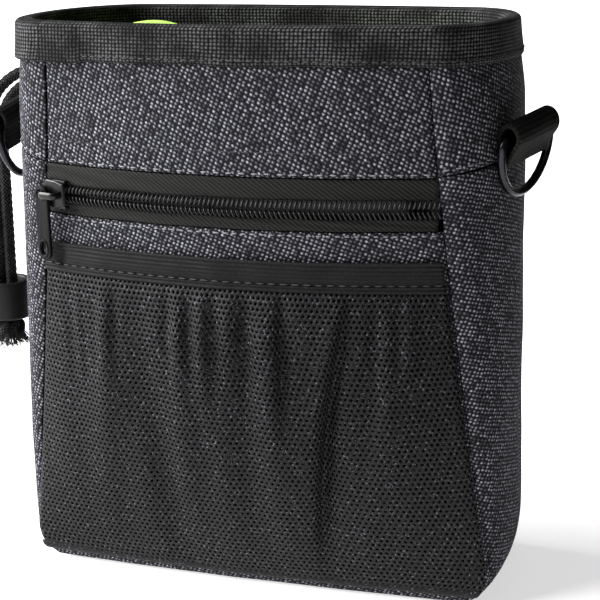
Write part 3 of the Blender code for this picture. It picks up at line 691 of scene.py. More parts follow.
def arc(middle, wide, high, start, stop, count):
    """Points along an ellipse round a middle, from one angle to another."""
    return [(middle[0] + wide * cos(a), middle[1] + high * sin(a))
            for a in spread(start, stop, count)]


def binding_section():
    """The folded tape's outline as (inset, height): up the outside, over and down the inside."""
    turn = 0.0014
    outer = [(-BINDING_OUT + 0.0003, BINDING_LOW), (-BINDING_OUT, BINDING_LOW + 0.0003)]
    outer += [(-BINDING_OUT, z) for z in spread(BINDING_LOW + 0.0012, HEIGHT - turn, 6)]
    over = arc((turn - BINDING_OUT, HEIGHT - turn), turn, turn, pi, 0.5 * pi, 6)[1:]
    down = arc((BINDING_IN - turn, HEIGHT - turn), turn, turn, 0.5 * pi, 0.0, 6)
    inner = [(BINDING_IN, z) for z in spread(HEIGHT - turn, BINDING_LOW + 0.0003, 6)[1:]]
    rear = CLOTH + PINCH + GAP
    inside = [(BINDING_IN - 0.0003, BINDING_LOW), (rear, BINDING_LOW + 0.0002),
              (rear, PANEL_TOP + GAP), (BINDING_FIT, PANEL_TOP + GAP),
              (BINDING_FIT, BINDING_LOW + 0.0002)]
    return outer + over + down + inner + inside


def closed_ring_mesh(name, section):
    """A closed ring round the mouth from its (inset, height) outline."""
    rows = []
    for inset, z in section + section[:1]:
        ring = mouth_ring(z, inset)
        if inset < 0.0:
            lapped = mouth_ring(z - LAP * (1.0 - ease(z, BINDING_LOW, HEIGHT)), inset - LAP)
            ring = [over if p.x < -0.040 and p.y < -0.012 else p for p, over in
                    zip(ring, lapped)]
        wave = [0.00035 * uneven(p.x / 0.012, p.y / 0.012, 5.0) for p in ring]
        low = ease(HEIGHT - z, 0.002, 0.009)
        rows.append([p + Vector((0.0, 0.0, low * w)) for p, w in zip(ring, wave)])
    data = cloth_mesh(name, rows, closed=True)
    seam = bmesh.new()
    seam.from_mesh(data)
    bmesh.ops.remove_doubles(seam, verts=seam.verts, dist=0.000001)
    seam.to_mesh(data)
    seam.free()
    return data


def ribbed_tape(name, dark, bright, rib=RIB_PITCH, bead=BEAD_PITCH, turn=0.0, depth=0.00030):
    """Woven polyester tape: beads of bright filament in ribs, black between them."""
    material, tree, shader, cloth_map = woven(name, 0.8)
    ribs = add_node(tree, "ShaderNodeMapping", {
        "Vector": cloth_map, "Rotation": (0.0, 0.0, radians(turn)),
        "Scale": (1.0 / rib, 1.0 / bead, 1.0)})
    away, chance = cells(tree, ribs.outputs[0], 1.0, 0.16)
    bead_level = levels(tree, away, 0.12, 0.55, 1.0, 0.0, "SMOOTHSTEP")
    patch = levels(tree, grain(tree, cloth_map, 0.07, 2.0), 0.38, 0.60, 0.22, 1.0)
    shown = times(tree, patch, levels(tree, chance.outputs["Green"], 0.0, 1.0, 0.55, 1.0))
    surface(tree, shader, blend(tree, times(tree, bead_level, shown), dark, bright),
            bead_level, 0.8, depth, 0.1)
    return material


# Black polyester grosgrain with a bright bead wherever a rib is crossed.
grosgrain = ribbed_tape("grosgrain_tape", "060606", "626264")
binding = add_piece("binding_tape", closed_ring_mesh("binding_tape", binding_section()),
                    grosgrain, "rim_binding")
declare_cut(binding, solid=True)
binding_path = mouth_ring(BINDING_LOW + 0.0013, -BINDING_OUT - 0.00005)
stitch_row("binding_stitching", [binding_path + binding_path[:1]], black_thread, 0.0024, 0.0018)

# ---- Liner and drawstring collar ------------------------------------------------------------
# A loose bag of coated nylon hangs from the binding and carries the treats. Above it a collar
# of thin lime ripstop folds in round the mouth and carries the drawstring in its hem.
LINING = 0.0005
LINER_INSET = 0.0034
LINER_FRONT = 0.0054
LINER_TOP = BINDING_LOW - GAP
COLLAR_LOW = 0.1280
COLLAR_TOP = LINER_TOP - 0.0010
CHANNEL = 0.0056


def liner_inset(z):
    """How far inside the cloth's outer face the liner hangs."""
    if z < CORNER:
        inner = CORNER - CLOTH - 4 * GAP
        turned = sqrt(max(inner ** 2 - (CORNER - z) ** 2, 0.0))
        return max(LINER_FRONT, CORNER - turned - corner_inset(z))
    return LINER_FRONT + (LINER_INSET - LINER_FRONT) * ease(z, 0.128, 0.142)


def thin_cloth(name, colour, bright, grid, roughness):
    """Thin plain-woven nylon: a fine square grid of heavier threads and a soft shine."""
    material, tree, shader, cloth_map = woven(name, roughness)
    checks = add_node(tree, "ShaderNodeTexBrick", {
        "Vector": cloth_map, "Scale": 1.0, "Mortar Size": 0.16, "Mortar Smooth": 0.5,
        "Brick Width": grid, "Row Height": grid, "Color1": linear(colour),
        "Color2": linear(colour), "Mortar": linear(bright)}, offset=0.0)
    bump = add_node(tree, "ShaderNodeBump", {
        "Height": grain(tree, cloth_map, 0.12, 5.0, 0.55), "Strength": 0.5, "Distance": 0.0012})
    surface(tree, shader, checks.outputs["Color"], checks.outputs["Fac"], 0.3, 0.0001,
            over=bump.outputs[0])
    return material


# Coated black nylon for the liner and the pocket, lime ripstop for the collar.
black_nylon = thin_cloth("coated_nylon_black", "111113", "1b1b1e", 1.6, 0.42)
lime_nylon = thin_cloth("ripstop_nylon_lime", "a9dd4c", "c6f07a", 2.4, 0.45)
lime_shader = lime_nylon.node_tree.nodes["Principled BSDF"]
lime_shader.inputs["Subsurface Weight"].default_value = 0.1
lime_shader.inputs["Subsurface Scale"].default_value = 0.002

liner_rows = []
for z in spread(CLOTH + 0.0006, LINER_TOP, 60):
    ring = mouth_ring(z, liner_inset(z), 60, 30)
    drape = ease(z, 0.012, 0.035) * (1.0 - ease(z, 0.120, 0.140))
    liner_rows.append([p * 1.0 - Vector((p.x, p.y, 0.0)).normalized() * drape * 0.0012
                       * (0.5 + 0.5 * uneven(p.x / 0.02, p.y / 0.02, z / 0.05))
                       for p in ring])
liner_mesh = cloth_mesh("liner_bag", liner_rows, closed=True)
floor = bmesh.new()
floor.from_mesh(liner_mesh)
rim = [edge for edge in floor.edges if edge.is_boundary and edge.verts[0].co.z < 0.006]
bmesh.ops.contextual_create(floor, geom=rim)
bmesh.ops.triangulate(floor, faces=[face for face in floor.faces if len(face.verts) > 4])
floor.to_mesh(liner_mesh)
floor.free()
liner = thicken(add_piece("liner_bag", liner_mesh, black_nylon, "liner"), LINING)
declare_cut(liner)

PEAK_X = -0.0226          # where the collar rucks up behind the front of the binding
PEAK_HALF = 0.040
PEAK_RISE = 0.0113


def collar_rows():
    """Gathered all round by the drawstring; its front rucks up in one place."""
    rows = []
    for level in spread(0.0, 1.0, 22):
        z = COLLAR_LOW + (COLLAR_TOP - COLLAR_LOW) * level
        bulge = CHANNEL * abs(sin(pi * level)) ** 0.6
        ring = mouth_ring(z, liner_inset(z) + LINING + GAP + bulge, 110, 60)
        row = []
        for i, p in enumerate(ring):
            inward = -Vector((p.x, p.y, 0.0)).normalized()
            gather = 0.5 + 0.5 * sin(2.0 * pi * i / 5.3 + 1.7 * sin(i / 9.0))
            point = p + inward * gather * 0.0013 * sin(pi * level) ** 2
            aside = min(1.0, abs(p.x - PEAK_X) / PEAK_HALF) if p.y < 0.0 else 1.0
            peak = 0.5 + 0.5 * cos(pi * aside)
            point += Vector((0.0, 0.0, PEAK_RISE * peak * level ** 3))
            point += inward * 0.0042 * peak * level ** 2
            row.append(point)
        rows.append(row)
    return rows


collar = cloth_piece("drawstring_collar_cloth", collar_rows(), lime_nylon,
                     "drawstring_collar", LINING, closed=True)
declare_cut(collar)

# ---- Zip ------------------------------------------------------------------------------------
# A size 5 nylon coil zip: two twill tapes, each with a row of slanted filament loops sewn to
# its edge that mesh in the middle. It bows out with the front, round an upright axis.
ZIP_RADIUS = (front_half(ZIP_Z) ** 2 + BULGE_ZIP ** 2) / (2.0 * BULGE_ZIP)
ZIP_AXIS_Y = ZIP_RADIUS - BULGE_ZIP - depth_half(ZIP_Z)
ZIP_END = asin((front_half(ZIP_Z) - 0.0006) / ZIP_RADIUS)
ZIP_LEAN = 0.07
COIL_RADIUS = 0.0009
COIL_OFFSET = 0.0013
COIL_PITCH = 0.00124
COIL_WIRE = 0.00027
COIL_WIDE = 0.00098
COIL_DEEP = 0.00078
TAPE = 0.0006


def zip_point(angle, height, out):
    """A place on the bowed zip, by its angle round the upright axis."""
    radius = ZIP_RADIUS + ZIP_LEAN * height + out
    return Vector((radius * sin(angle), ZIP_AXIS_Y - radius * cos(angle), ZIP_Z + height))


def zip_strip(low, high):
    """One tape, a little wavy where the sewing pulls it in."""
    return [[zip_point(angle, low + (high - low) * part,
                       -0.0004 + 0.00012 * sin(9.0 * part + 40.0 * angle))
             for angle in spread(-ZIP_END, ZIP_END, 90)] for part in spread(0.0, 1.0, 10)]


def twill_tape(name):
    """Zip tape: fine polyester twill, its lines about half a millimetre apart."""
    material, tree, shader, cloth_map = woven(name, 0.78)
    lines = add_node(tree, "ShaderNodeMapping", {
        "Vector": cloth_map, "Rotation": (0.0, 0.0, radians(38.0))})
    wave = add_node(tree, "ShaderNodeTexWave", {
        "Vector": lines.outputs[0], "Scale": 0.34, "Distortion": 0.6, "Detail": 1.0,
        "Detail Scale": 1.5}, bands_direction="Y")
    both = times(tree, wave.outputs["Fac"], grain(tree, cloth_map, 3.0, 2.0))
    surface(tree, shader, blend(tree, both, "030303", "333330"), wave.outputs["Fac"],
            0.6, 0.00015, 0.2)
    return material


COIL_EDGE = COIL_OFFSET + COIL_RADIUS + 0.0002
zip_twill = twill_tape("zip_tape_twill")
for name, low, high in (("upper", COIL_EDGE, TAPE_TOP), ("lower", -TAPE_BOTTOM, -COIL_EDGE)):
    cloth_piece("zip_tape_" + name + "_cloth", zip_strip(low, high), zip_twill,
                "zip_tape_" + name, TAPE)

coil_tree, coil_in, coil_out = named_tree("zip_coil", [
    ("Pitch", "Float"), ("Size", "Vector"), ("Slant", "Vector"), ("Wire", "Float"),
    ("Material", "Material")])
coil_ring = add_node(coil_tree, "GeometryNodeCurvePrimitiveCircle", {
    "Resolution": 14, "Radius": 1.0})
coil_upright = add_node(coil_tree, "GeometryNodeTransform", {
    "Geometry": coil_ring.outputs["Curve"], "Rotation": (0.0, 0.5 * pi, 0.0)})
coil_oval = add_node(coil_tree, "GeometryNodeTransform", {
    "Geometry": coil_upright.outputs[0], "Scale": coil_in.outputs["Size"]})
coil_section = add_node(coil_tree, "GeometryNodeCurvePrimitiveCircle", {
    "Resolution": 7, "Radius": coil_in.outputs["Wire"]})
coil_loop = add_node(coil_tree, "GeometryNodeCurveToMesh", {
    "Curve": coil_oval.outputs[0], "Profile Curve": coil_section.outputs["Curve"]})
coil_leaning = add_node(coil_tree, "GeometryNodeTransform", {
    "Geometry": coil_loop.outputs[0], "Rotation": coil_in.outputs["Slant"]})
copies_along(coil_tree, coil_in, coil_out, coil_leaning.outputs[0], "X", "Z")


def moulded(name, colour, bright, roughness, fineness, depth=0.00004, metallic=0.0, shine=0.3):
    """A hard finish with a fine grain and faint wear; metallic 1 for bare or plated metal."""
    material, tree, shader = new_material(name, roughness)
    shader.inputs["Metallic"].default_value = metallic
    place = add_node(tree, "ShaderNodeTexCoord").outputs["Object"]
    cloud = grain(tree, place, 420.0, 4.0, 0.6)
    gloss = levels(tree, cloud, 0.3, 0.7, roughness * 0.8, roughness * 1.25)
    tree.links.new(gloss, shader.inputs["Roughness"])
    surface(tree, shader, blend(tree, cloud, colour, bright), grain(tree, place, fineness, 2.0),
            0.35, depth, 0.5 if metallic else shine)
    return material


# Nylon filament, drawn smooth.
coil_nylon = moulded("coil_nylon_filament", "0e0e0e", "1e1e1e", 0.38, 3000.0)
SLANT = radians(24.0)
for name, sign in (("upper", 1.0), ("lower", -1.0)):
    path = [zip_point(angle, sign * COIL_OFFSET, 0.0) for angle in spread(-ZIP_END, ZIP_END, 120)]
    name = "zip_coil_" + name
    add_piece(name + "_loops", run_tree(name + "_loops", path_curve("coil_path", [path]), coil_tree, {
        "Pitch": COIL_PITCH, "Size": (1.0, COIL_DEEP, COIL_WIDE),
        "Slant": (0.0, sign * SLANT, 0.0), "Wire": COIL_WIRE, "Material": coil_nylon}),
        coil_nylon, name)

# ---- Slider and pull ------------------------------------------------------------------------
# A die-cast slider with a pointed nose and an arched bridge, in gloss black enamel, and a
# flat stamped pull in matt black with a round eye above and an oval window below.
SLIDER_REST_X = -0.0500
REST_ANGLE = asin(SLIDER_REST_X / ZIP_RADIUS)
PLATE_OUT = 0.0014
PLATE_IN = 0.0016
PLATE = 0.0009
BRIDGE_OUT = 0.0046
LEG_X = -0.0028
PULL_OUT = 0.0029
PULL = 0.0011
PULL_LEAN = radians(3.0)
PULL_SWAY = radians(-2.5)
PULL_DROP = 0.0163
PULL_HALF = 0.0023


def about_zip_axis(angle):
    """From the slider's own axes, X along the zip and -Y outwards, to its place on the zip."""
    centre = Vector((0.0, ZIP_AXIS_Y, ZIP_Z))
    return (Matrix.Translation(centre) @ Matrix.Rotation(angle, 4, "Z")
            @ Matrix.Translation((0.0, -ZIP_RADIUS, 0.0)))


def close_rings(shape, rings, round_again=False):
    """Joins each ring of corners to the next with quads, then closes the solid."""
    for low, high in zip(rings, rings[1:] + (rings[:1] if round_again else [])):
        for i in range(len(low)):
            j = (i + 1) % len(low)
            shape.faces.new((low[i], low[j], high[j], high[i]))
    if not round_again:
        shape.faces.new(rings[0])
        shape.faces.new(rings[-1])
    bmesh.ops.recalc_face_normals(shape, faces=shape.faces)
    return shape


def plate_mesh(outline, near, far, width, crown=0.0):
    """A plate with an (x, z) outline between two depths, its edges rounded."""
    shape = bmesh.new()
    loops = [[shape.verts.new((x * grow, -depth, z * grow)) for x, z in outline]
             for depth, grow in ((near, 1.0), (far, 1.0 - crown))]
    close_rings(shape, loops)
    bmesh.ops.bevel(shape, geom=shape.edges[:], offset=width, segments=3, profile=0.6,
                    affect="EDGES", clamp_overlap=True)
    return shape


def bridge_mesh():
    """The arch over the front plate that the pull hangs from, swept from leg to leg."""
    foot, shoulder = PLATE_OUT + 0.0004, BRIDGE_OUT - 0.0006
    path = [(LEG_X, foot), (LEG_X, shoulder)]
    path += arc((-0.0016, shoulder), 0.0012, 0.0011, pi, 0.5 * pi, 6)[1:]
    path += arc((0.0016, shoulder), 0.0012, 0.0011, 0.5 * pi, 0.0, 6)
    path += [(-LEG_X, foot)]
    shape = bmesh.new()
    rings = []
    for k, (x, out) in enumerate(path):
        before, after = path[max(k - 1, 0)], path[min(k + 1, len(path) - 1)]
        along = Vector((after[0] - before[0], after[1] - before[1])).normalized()
        ring = []
        for a in spread(0.0, 2.0 * pi, 11)[:-1]:
            wide, thick = 0.00095 * cos(a), 0.00042 * sin(a)
            ring.append(shape.verts.new((x - along.y * thick, -(out + along.x * thick), wide)))
        rings.append(ring)
    return close_rings(shape, rings)


def join_shapes(name, shapes, place, sharp=40.0):
    """Several closed shapes as one mesh, moved to their place on the bag."""
    data = bpy.data.meshes.new(name)
    whole = bmesh.new()
    for shape in shapes:
        part = bpy.data.meshes.new("part")
        shape.to_mesh(part)
        whole.from_mesh(part)
        shape.free()
        bpy.data.meshes.remove(part)
    bmesh.ops.transform(whole, matrix=place, verts=whole.verts)
    whole.to_mesh(data)
    whole.free()
    data.shade_smooth()
    data.set_sharp_from_angle(angle=radians(sharp))
    return data


nose_outline = [(-0.0054, -0.0006), (-0.0054, 0.0010), (-0.0026, 0.0042), (0.0008, 0.0040),
                (0.0040, 0.0031), (0.0040, -0.0031), (0.0008, -0.0040), (-0.0026, -0.0040)]
flange_outline = [(-0.0026, 0.0034), (-0.0026, 0.0040), (0.0040, 0.0038), (0.0040, 0.0032)]
slider_shapes = [plate_mesh(nose_outline, PLATE_OUT, PLATE_OUT + PLATE, 0.00035, crown=0.10),
                 plate_mesh(nose_outline, -PLATE_IN - PLATE, -PLATE_IN, 0.00030),
                 bridge_mesh()]
for sign in (1.0, -1.0):
    lip = [(x, sign * z) for x, z in flange_outline]
    slider_shapes.append(plate_mesh(lip, 0.0001, PLATE_OUT + 0.0004, 0.00012))
slider_place = about_zip_axis(REST_ANGLE)
# Black enamel on die-cast zinc.
gloss_black = moulded("enamelled_zinc_gloss_black", "070708", "121213", 0.30, 2200.0, shine=0.3)
add_piece("zip_slider_casting", join_shapes("zip_slider_casting", slider_shapes, slider_place),
          gloss_black, "zip_slider", "zip_slider")


def ring_mesh(centre, half_x, half_z, wire, depth):
    """An oval ring of round wire lying on the pull's face, as a raised rim."""
    shape = bmesh.new()
    rings = []
    for a in spread(0.0, 2.0 * pi, 29)[:-1]:
        out = Vector((cos(a) * half_z, sin(a) * half_x)).normalized()
        rings.append([shape.verts.new((
            centre[0] + half_x * cos(a) + out.x * wire * cos(b),
            centre[1] + half_z * sin(a) + out.y * wire * cos(b), depth + wire * sin(b)))
            for b in spread(0.0, 2.0 * pi, 9)[:-1]])
    return close_rings(shape, rings, True)


EDGE_ROUND = 0.00022
window_y = -PULL_DROP + 0.0011
pull_outline = (arc((0.0, 0.0), PULL_HALF, PULL_HALF, radians(-12), radians(192), 21)
                + arc((0.0, -PULL_DROP), PULL_HALF, PULL_HALF, pi, 2.0 * pi, 17))
eye, window = (arc((0.0, y), wide, high, 0.0, 2.0 * pi, 25)[:-1]
               for y, wide, high in ((0.0, 0.0012, 0.0012), (window_y, 0.0011, 0.0019)))
pull_curve = path_curve("pull_outline", [
    [(x, y, 0.0) for x, y in outline] for outline in (pull_outline, eye, window)], closed=True)
pull_curve.dimensions = "2D"
pull_curve.fill_mode = "BOTH"
pull_curve.extrude = 0.5 * PULL - EDGE_ROUND
pull_curve.bevel_depth = EDGE_ROUND
pull_curve.bevel_resolution = 2
pull_curve.offset = -EDGE_ROUND
pull_flat = plain_mesh(in_scene("pull_outline", pull_curve), "pull_outline")
pull_shape = bmesh.new()
pull_shape.from_mesh(pull_flat)
bmesh.ops.remove_doubles(pull_shape, verts=pull_shape.verts, dist=0.000005)
pull_place = (slider_place @ Matrix.Translation((LEG_X, -PULL_OUT - 0.5 * PULL, 0.0))
              @ Matrix.Rotation(0.5 * pi + PULL_LEAN, 4, "X") @ Matrix.Rotation(PULL_SWAY, 4, "Z"))
rim_shapes = [ring_mesh((0.0, window_y), 0.00150, 0.00230, 0.00024, 0.5 * PULL),
              ring_mesh((0.0, 0.0), 0.00160, 0.00160, 0.00022, 0.5 * PULL)]
# Matt black powder coat on stamped zinc.
matt_black = moulded("powder_coated_black", "060606", "101011", 0.50, 5200.0, 0.00006, shine=0.12)
add_piece("zip_pull_tab", join_shapes("zip_pull_tab", [pull_shape] + rim_shapes, pull_place),
          matt_black, "zip_pull", "zip_pull")

# The pocket behind the zip is one sheet of black nylon sewn to both tapes.
POCKET_LOW = 0.020
POCKET_TOP = 0.140
POCKET_MARGIN = 0.0070    # between the pocket's sides and the front seams
POCKET_BEHIND = 0.0030    # how far it hangs behind the front's outer face
pocket_rows = [across_front(z, -POCKET_BEHIND, POCKET_MARGIN, 40)
               for z in spread(POCKET_LOW, POCKET_TOP, 40)]
declare_cut(cloth_piece("zip_pocket_sheet", pocket_rows, black_nylon, "zip_pocket_lining",
                        0.0004))

# ---- Net pocket -----------------------------------------------------------------------------
# Black warp-knitted polyester net, cut wider than the front and gathered under a band of
# ribbed elastic, so that it stands off the denim in soft upright folds.
ELASTIC_LOW = 0.0920
ELASTIC_TOP = 0.1005
ELASTIC_OUT = 0.0010
MESH_LOW = 0.0040
MESH_WALL = 0.0009
MESH_LIFT = 0.0068
EDGE = 0.0008             # from the band's and the hem's ends to the front seams
NET_PITCH = 1.66          # mm between holes along a row
NET_HOLE = 0.52           # a hole's width as a share of its cell
NET_THREAD = 0.00045


def fold_line(x, centre, width):
    return exp(-((x - centre) / width) ** 2)


def net_lift(x, z):
    """How far the net's face stands off the denim, at a place given in metres."""
    up = min(1.0, max(0.0, (z - MESH_LOW) / (ELASTIC_LOW - GAP - MESH_LOW)))
    across = min(1.0, abs(x) / (front_half(z) + corner_inset(z)))
    lift = MESH_LIFT * sin(0.5 * pi * min(1.0, up / 0.50)) ** 0.8 * (1.0 - across ** 3)
    lift *= min(1.0, (1.0 - up) / 0.16) ** 0.6 * (1.0 - 0.25 * ease(up, 0.55, 0.95))
    lift *= 1.0 + (0.10 + 0.28 * up) * uneven(x / 0.0085, z / 0.060, 9.0)
    for line_low, line_high, bend, start, deep, wide in PLEATS:
        away = x - (line_low + (line_high - line_low) * up ** bend)
        share = deep * ease(up, start - 0.18, start + 0.22)
        if away > 0.0:
            lift *= 1.0 - share * exp(-away / wide)
        else:
            lift *= (1.0 - share * exp(away / 0.0008)) * (1.0 + 0.16 * share * exp(away / wide))
    lift -= lift * 0.40 * fold_line(x, -0.0188 - 0.0072 * up, 0.0055)
    lift += 0.0010 * sin(pi * up) * fold_line(x, 0.0356 + 0.0090 * up, 0.0035)
    for centre, share in GATHERS:
        lift -= lift * share * ease(up, 0.55, 0.97) * fold_line(x, centre, 0.0017)
    seam_distance = max(0.0, front_half(z) - 0.5 * GAP - abs(x))
    edge = GAP + MESH_WALL + 0.0006
    return GAP + MESH_WALL + max(lift, 0.0) - edge * (1.0 - ease(seam_distance, 0.0, 0.0016))


# Each pleat: where its line starts and ends, its bend, how high it begins, depth and width.
PLEATS = [(0.0220, 0.0322, 2.0, 0.02, 0.82, 0.0062), (0.0150, 0.0142, 1.0, 0.62, 0.60, 0.0040),
          (-0.0420, -0.0440, 1.0, 0.66, 0.45, 0.0034), (-0.0040, -0.0050, 1.0, 0.68, 0.42, 0.0036)]
GATHERS = [(-0.0475, 0.5), (-0.0395, 0.35), (-0.0330, 0.5), (-0.0170, 0.4), (-0.0105, 0.5),
           (-0.0030, 0.35), (0.0050, 0.5), (0.0385, 0.45), (0.0445, 0.5), (0.0500, 0.4)]


def net_lattice():
    """The knit's stitches as a triangle lattice laid over the folded sheet, evenly by length
    along each course, so that the holes keep their size on the flanks of the folds."""
    courses = ceil((ELASTIC_LOW + 0.0012 - MESH_LOW) * MM / (NET_PITCH * 0.866))
    wales = ceil(2.0 * FRONT_HALF_BASE * MM / NET_PITCH)
    rows = []
    for j in range(courses + 1):
        z = MESH_LOW + (ELASTIC_LOW + 0.0012 - MESH_LOW) * j / courses
        half = front_half(z) - 0.5 * GAP
        fine = [front_point(x, z, net_lift(x, z)) for x in spread(-half, half, 420)]
        run = np.concatenate([[0.0], np.cumsum([(b - a).length for a, b in zip(fine, fine[1:])])])
        shift = 0.5 * (j % 2)
        places = (np.arange(wales + 1) + shift) / (wales + 0.5) * run[-1]
        line = np.array([tuple(point) for point in fine])
        rows.append([Vector([float(np.interp(s, run, line[:, axis])) for axis in range(3)])
                     for s in places])
    faces = []
    wide = wales + 1
    for j in range(courses):
        for i in range(wales):
            a, b = j * wide + i, j * wide + i + 1
            c, d = a + wide, b + wide
            faces += [(a, b, c), (b, d, c)] if j % 2 == 0 else [(a, b, d), (a, d, c)]
    data = bpy.data.meshes.new("net_lattice")
    data.from_pydata([tuple(p) for row in rows for p in row], [], faces)
    return data


net_tree, net_in, net_out = named_tree("knitted_net", [
    ("Hole", "Float"), ("Material", "Material")])
net_cells = add_node(net_tree, "GeometryNodeDualMesh", {"Mesh": net_in.outputs["Geometry"]})
net_inset = add_node(net_tree, "GeometryNodeExtrudeMesh", {
    "Mesh": net_cells.outputs[0], "Offset Scale": 0.0, "Individual": True}, mode="FACES")
net_holes = add_node(net_tree, "GeometryNodeScaleElements", {
    "Geometry": net_inset.outputs["Mesh"], "Selection": net_inset.outputs["Top"],
    "Scale": net_in.outputs["Hole"]}, domain="FACE")
net_open = add_node(net_tree, "GeometryNodeDeleteGeometry", {
    "Geometry": net_holes.outputs[0], "Selection": net_inset.outputs["Top"]}, domain="FACE")
net_painted = add_node(net_tree, "GeometryNodeSetMaterial", {
    "Geometry": net_open.outputs[0], "Material": net_in.outputs["Material"]})
net_tree.links.new(net_painted.outputs[0], net_out.inputs["Geometry"])


def knit_yarn(name):
    """Textured polyester yarn: nearly black, a little shine, a mottle that is partly the yarn's own
    tone and partly painted highlight on its loops, and scattered specks of painted glint.
    """
    material, tree, shader = new_material(name, 0.62)
    place = add_node(tree, "ShaderNodeTexCoord").outputs["Object"]
    fibre = grain(tree, place, 2300.0, 3.0, 0.7)
    # Tiny scattered cells turned light grey: painted glints on the yarn.
    _, chance = cells(tree, place, 2600.0, 1.0, "3D")
    painted_glints = levels(tree, chance.outputs["Blue"], 0.93, 1.0)
    # The mottle from near black to dark grey is partly the yarn's own tone and partly painted
    # highlight on its lit loops.
    yarn = blend(tree, levels(tree, fibre, 0.38, 0.68), "020203", "19191b")
    surface(tree, shader, blend(tree, painted_glints, yarn, "54545a"), fibre, 0.6, 0.00012, 0.2)
    return material


# The net and its hem are knitted in one black yarn.
black_net = knit_yarn("warp_knit_yarn_black")
net_cloth = net_lattice()
net_mesh = run_tree("net_pocket", net_cloth, net_tree, {
    "Hole": NET_HOLE, "Material": black_net})
net_clean = bmesh.new()
net_clean.from_mesh(net_mesh)
bmesh.ops.remove_doubles(net_clean, verts=net_clean.verts, dist=0.000005)
net_clean.to_mesh(net_mesh)
net_clean.free()
net_mesh.shade_smooth()
net = thicken(add_piece("net_pocket", net_mesh, black_net, "mesh_pocket"), NET_THREAD)


def net_hem_rows():
    """The net's raw edge turned under along the base, under a fold of its own cloth."""
    return [across_front(MESH_LOW - 0.0006 + 0.0024 * part,
                         GAP + MESH_WALL + 0.0004 * sin(pi * part), EDGE, 120)
            for part in spread(0.0, 1.0, 7)]


hem = cloth_piece("net_pocket_hem", net_hem_rows(), black_net, None, NET_THREAD)


def elastic_rows():
    """Ribbed elastic: six raised cords along it, and a groove where it is sewn down."""
    rows = []
    for part in spread(0.0, 1.0, 62):
        z = ELASTIC_LOW + (ELASTIC_TOP - ELASTIC_LOW) * part
        rib = 0.00026 * abs(sin(7.0 * pi * part)) ** 0.7
        groove = 0.00030 * fold_line(part, 0.27, 0.05)
        rows.append([])
        half = front_half(z) - EDGE
        for u in spread(-1.0, 1.0, 150):
            x = u * half
            slack = 0.00035 * uneven(x / 0.008, part * 1.4, 21.0)
            dent = 0.0007 * fold_line(x, -0.0495, 0.0016) * sin(pi * part)
            rows[-1].append(front_point(x, z, GAP + ELASTIC_OUT + rib - groove + slack - dent))
    return rows


def elastic_yarn(name):
    """Covered rubber yarn: fine threads lying across each raised cord."""
    material, tree, shader, cloth_map = woven(name, 0.72)
    stretched = add_node(tree, "ShaderNodeMapping", {
        "Vector": cloth_map, "Scale": (2.6, 0.7, 1.0)})
    fibre = grain(tree, stretched.outputs[0], 1.0, 3.0, 0.6)
    cords = add_node(tree, "ShaderNodeTexWave", {
        "Vector": cloth_map, "Scale": 0.262, "Distortion": 0.4, "Detail": 1.0},
        bands_direction="Y").outputs["Fac"]
    level = times(tree, cords, levels(tree, fibre, 0.3, 0.7))
    relief = add_node(tree, "ShaderNodeMath", {0: cords, 1: 2.0, 2: fibre},
                      operation="MULTIPLY_ADD")
    surface(tree, shader, blend(tree, level, "020202", "212121"), relief.outputs[0],
            0.8, 0.00016, 0.2)
    return material


cloth_piece("pocket_elastic_band", elastic_rows(), elastic_yarn("ribbed_elastic_black"),
            "pocket_elastic", ELASTIC_OUT)
stitch_row("elastic_stitching", [across_front(
    ELASTIC_LOW + 0.27 * (ELASTIC_TOP - ELASTIC_LOW), GAP + ELASTIC_OUT + 0.0001)],
    black_thread, 0.0030, 0.0021)
stitch_row("net_hem_stitching", [across_front(MESH_LOW + 0.0008, GAP + MESH_WALL + 0.0001)],
           black_thread, 0.0028, 0.0020)

# ---- D-rings and their tabs -----------------------------------------------------------------
# A 20 mm D of 2.3 mm wire each side, black nickel plated, hanging in a folded tab of 20 mm
# polypropylene webbing that is caught in the gusset's cross seam.
WEB = 0.0012
TAB_WIDTH = 0.0195
RING_WIRE = 0.0023
RING_INNER = 0.0206
RING_DROP = 0.0165
RING_MID = 0.5 * (RING_INNER + RING_WIRE)
RING_PLACES = {
    "right": (Vector((0.0732, -0.0155, 0.1322)), Vector((0.42, 0.90, 0.15)), 1.0, 4.0),
    "left": (Vector((-0.0755, -0.0090, 0.1305)), Vector((-0.04, 0.99, 0.10)), -1.0, 9.0),
}


def ring_outline():
    """The D in its own plane: bar along X, bow hanging along -Z."""
    corner = 0.0022
    straight = 0.0040
    right = arc((RING_MID - corner, -corner), corner, corner, 0.5 * pi, 0.0, 7)[1:]
    bar = [(x, 0.0) for x in spread(-RING_MID + corner, RING_MID - corner, 12)]
    bow_part = arc((0.0, -straight), RING_MID, straight - RING_DROP, 0.0, pi, 49)
    left = [(-x, z) for x, z in reversed(right)]
    return bar + right + bow_part + left


def wire_mesh(name, points, diameter, place):
    """A closed loop of round wire through the points."""
    shape = bmesh.new()
    rings = []
    for (x, z), ahead, behind in zip(points, points[1:] + points[:1], points[-1:] + points):
        along = Vector((ahead[0] - behind[0], 0.0, ahead[1] - behind[1])).normalized()
        side = along.cross(Vector((0.0, 1.0, 0.0)))
        rings.append([shape.verts.new(Vector((x, 0.0, z)) + 0.5 * diameter
                                      * (side * cos(a) + Vector((0.0, sin(a), 0.0))))
                      for a in spread(0.0, 2.0 * pi, 17)[:-1]])
    return join_shapes(name, [close_rings(shape, rings, True)], place)


def tab_path():
    """The webbing's outer face in (out, up) about the bar: up from the seam, round and down."""
    low = -0.0078
    round_part = arc((0.0005, 0.0006), 0.0034, 0.0038, radians(-35), radians(215), 41)
    inner_leg = [(-0.0022, -0.0050), (-0.0019, -0.0064), (-0.0017, low)]
    outer_leg = [(-0.0001, low), (0.0005, -0.0064), (0.0012, -0.0050), (0.0022, -0.0032)]
    return outer_leg + round_part + inner_leg


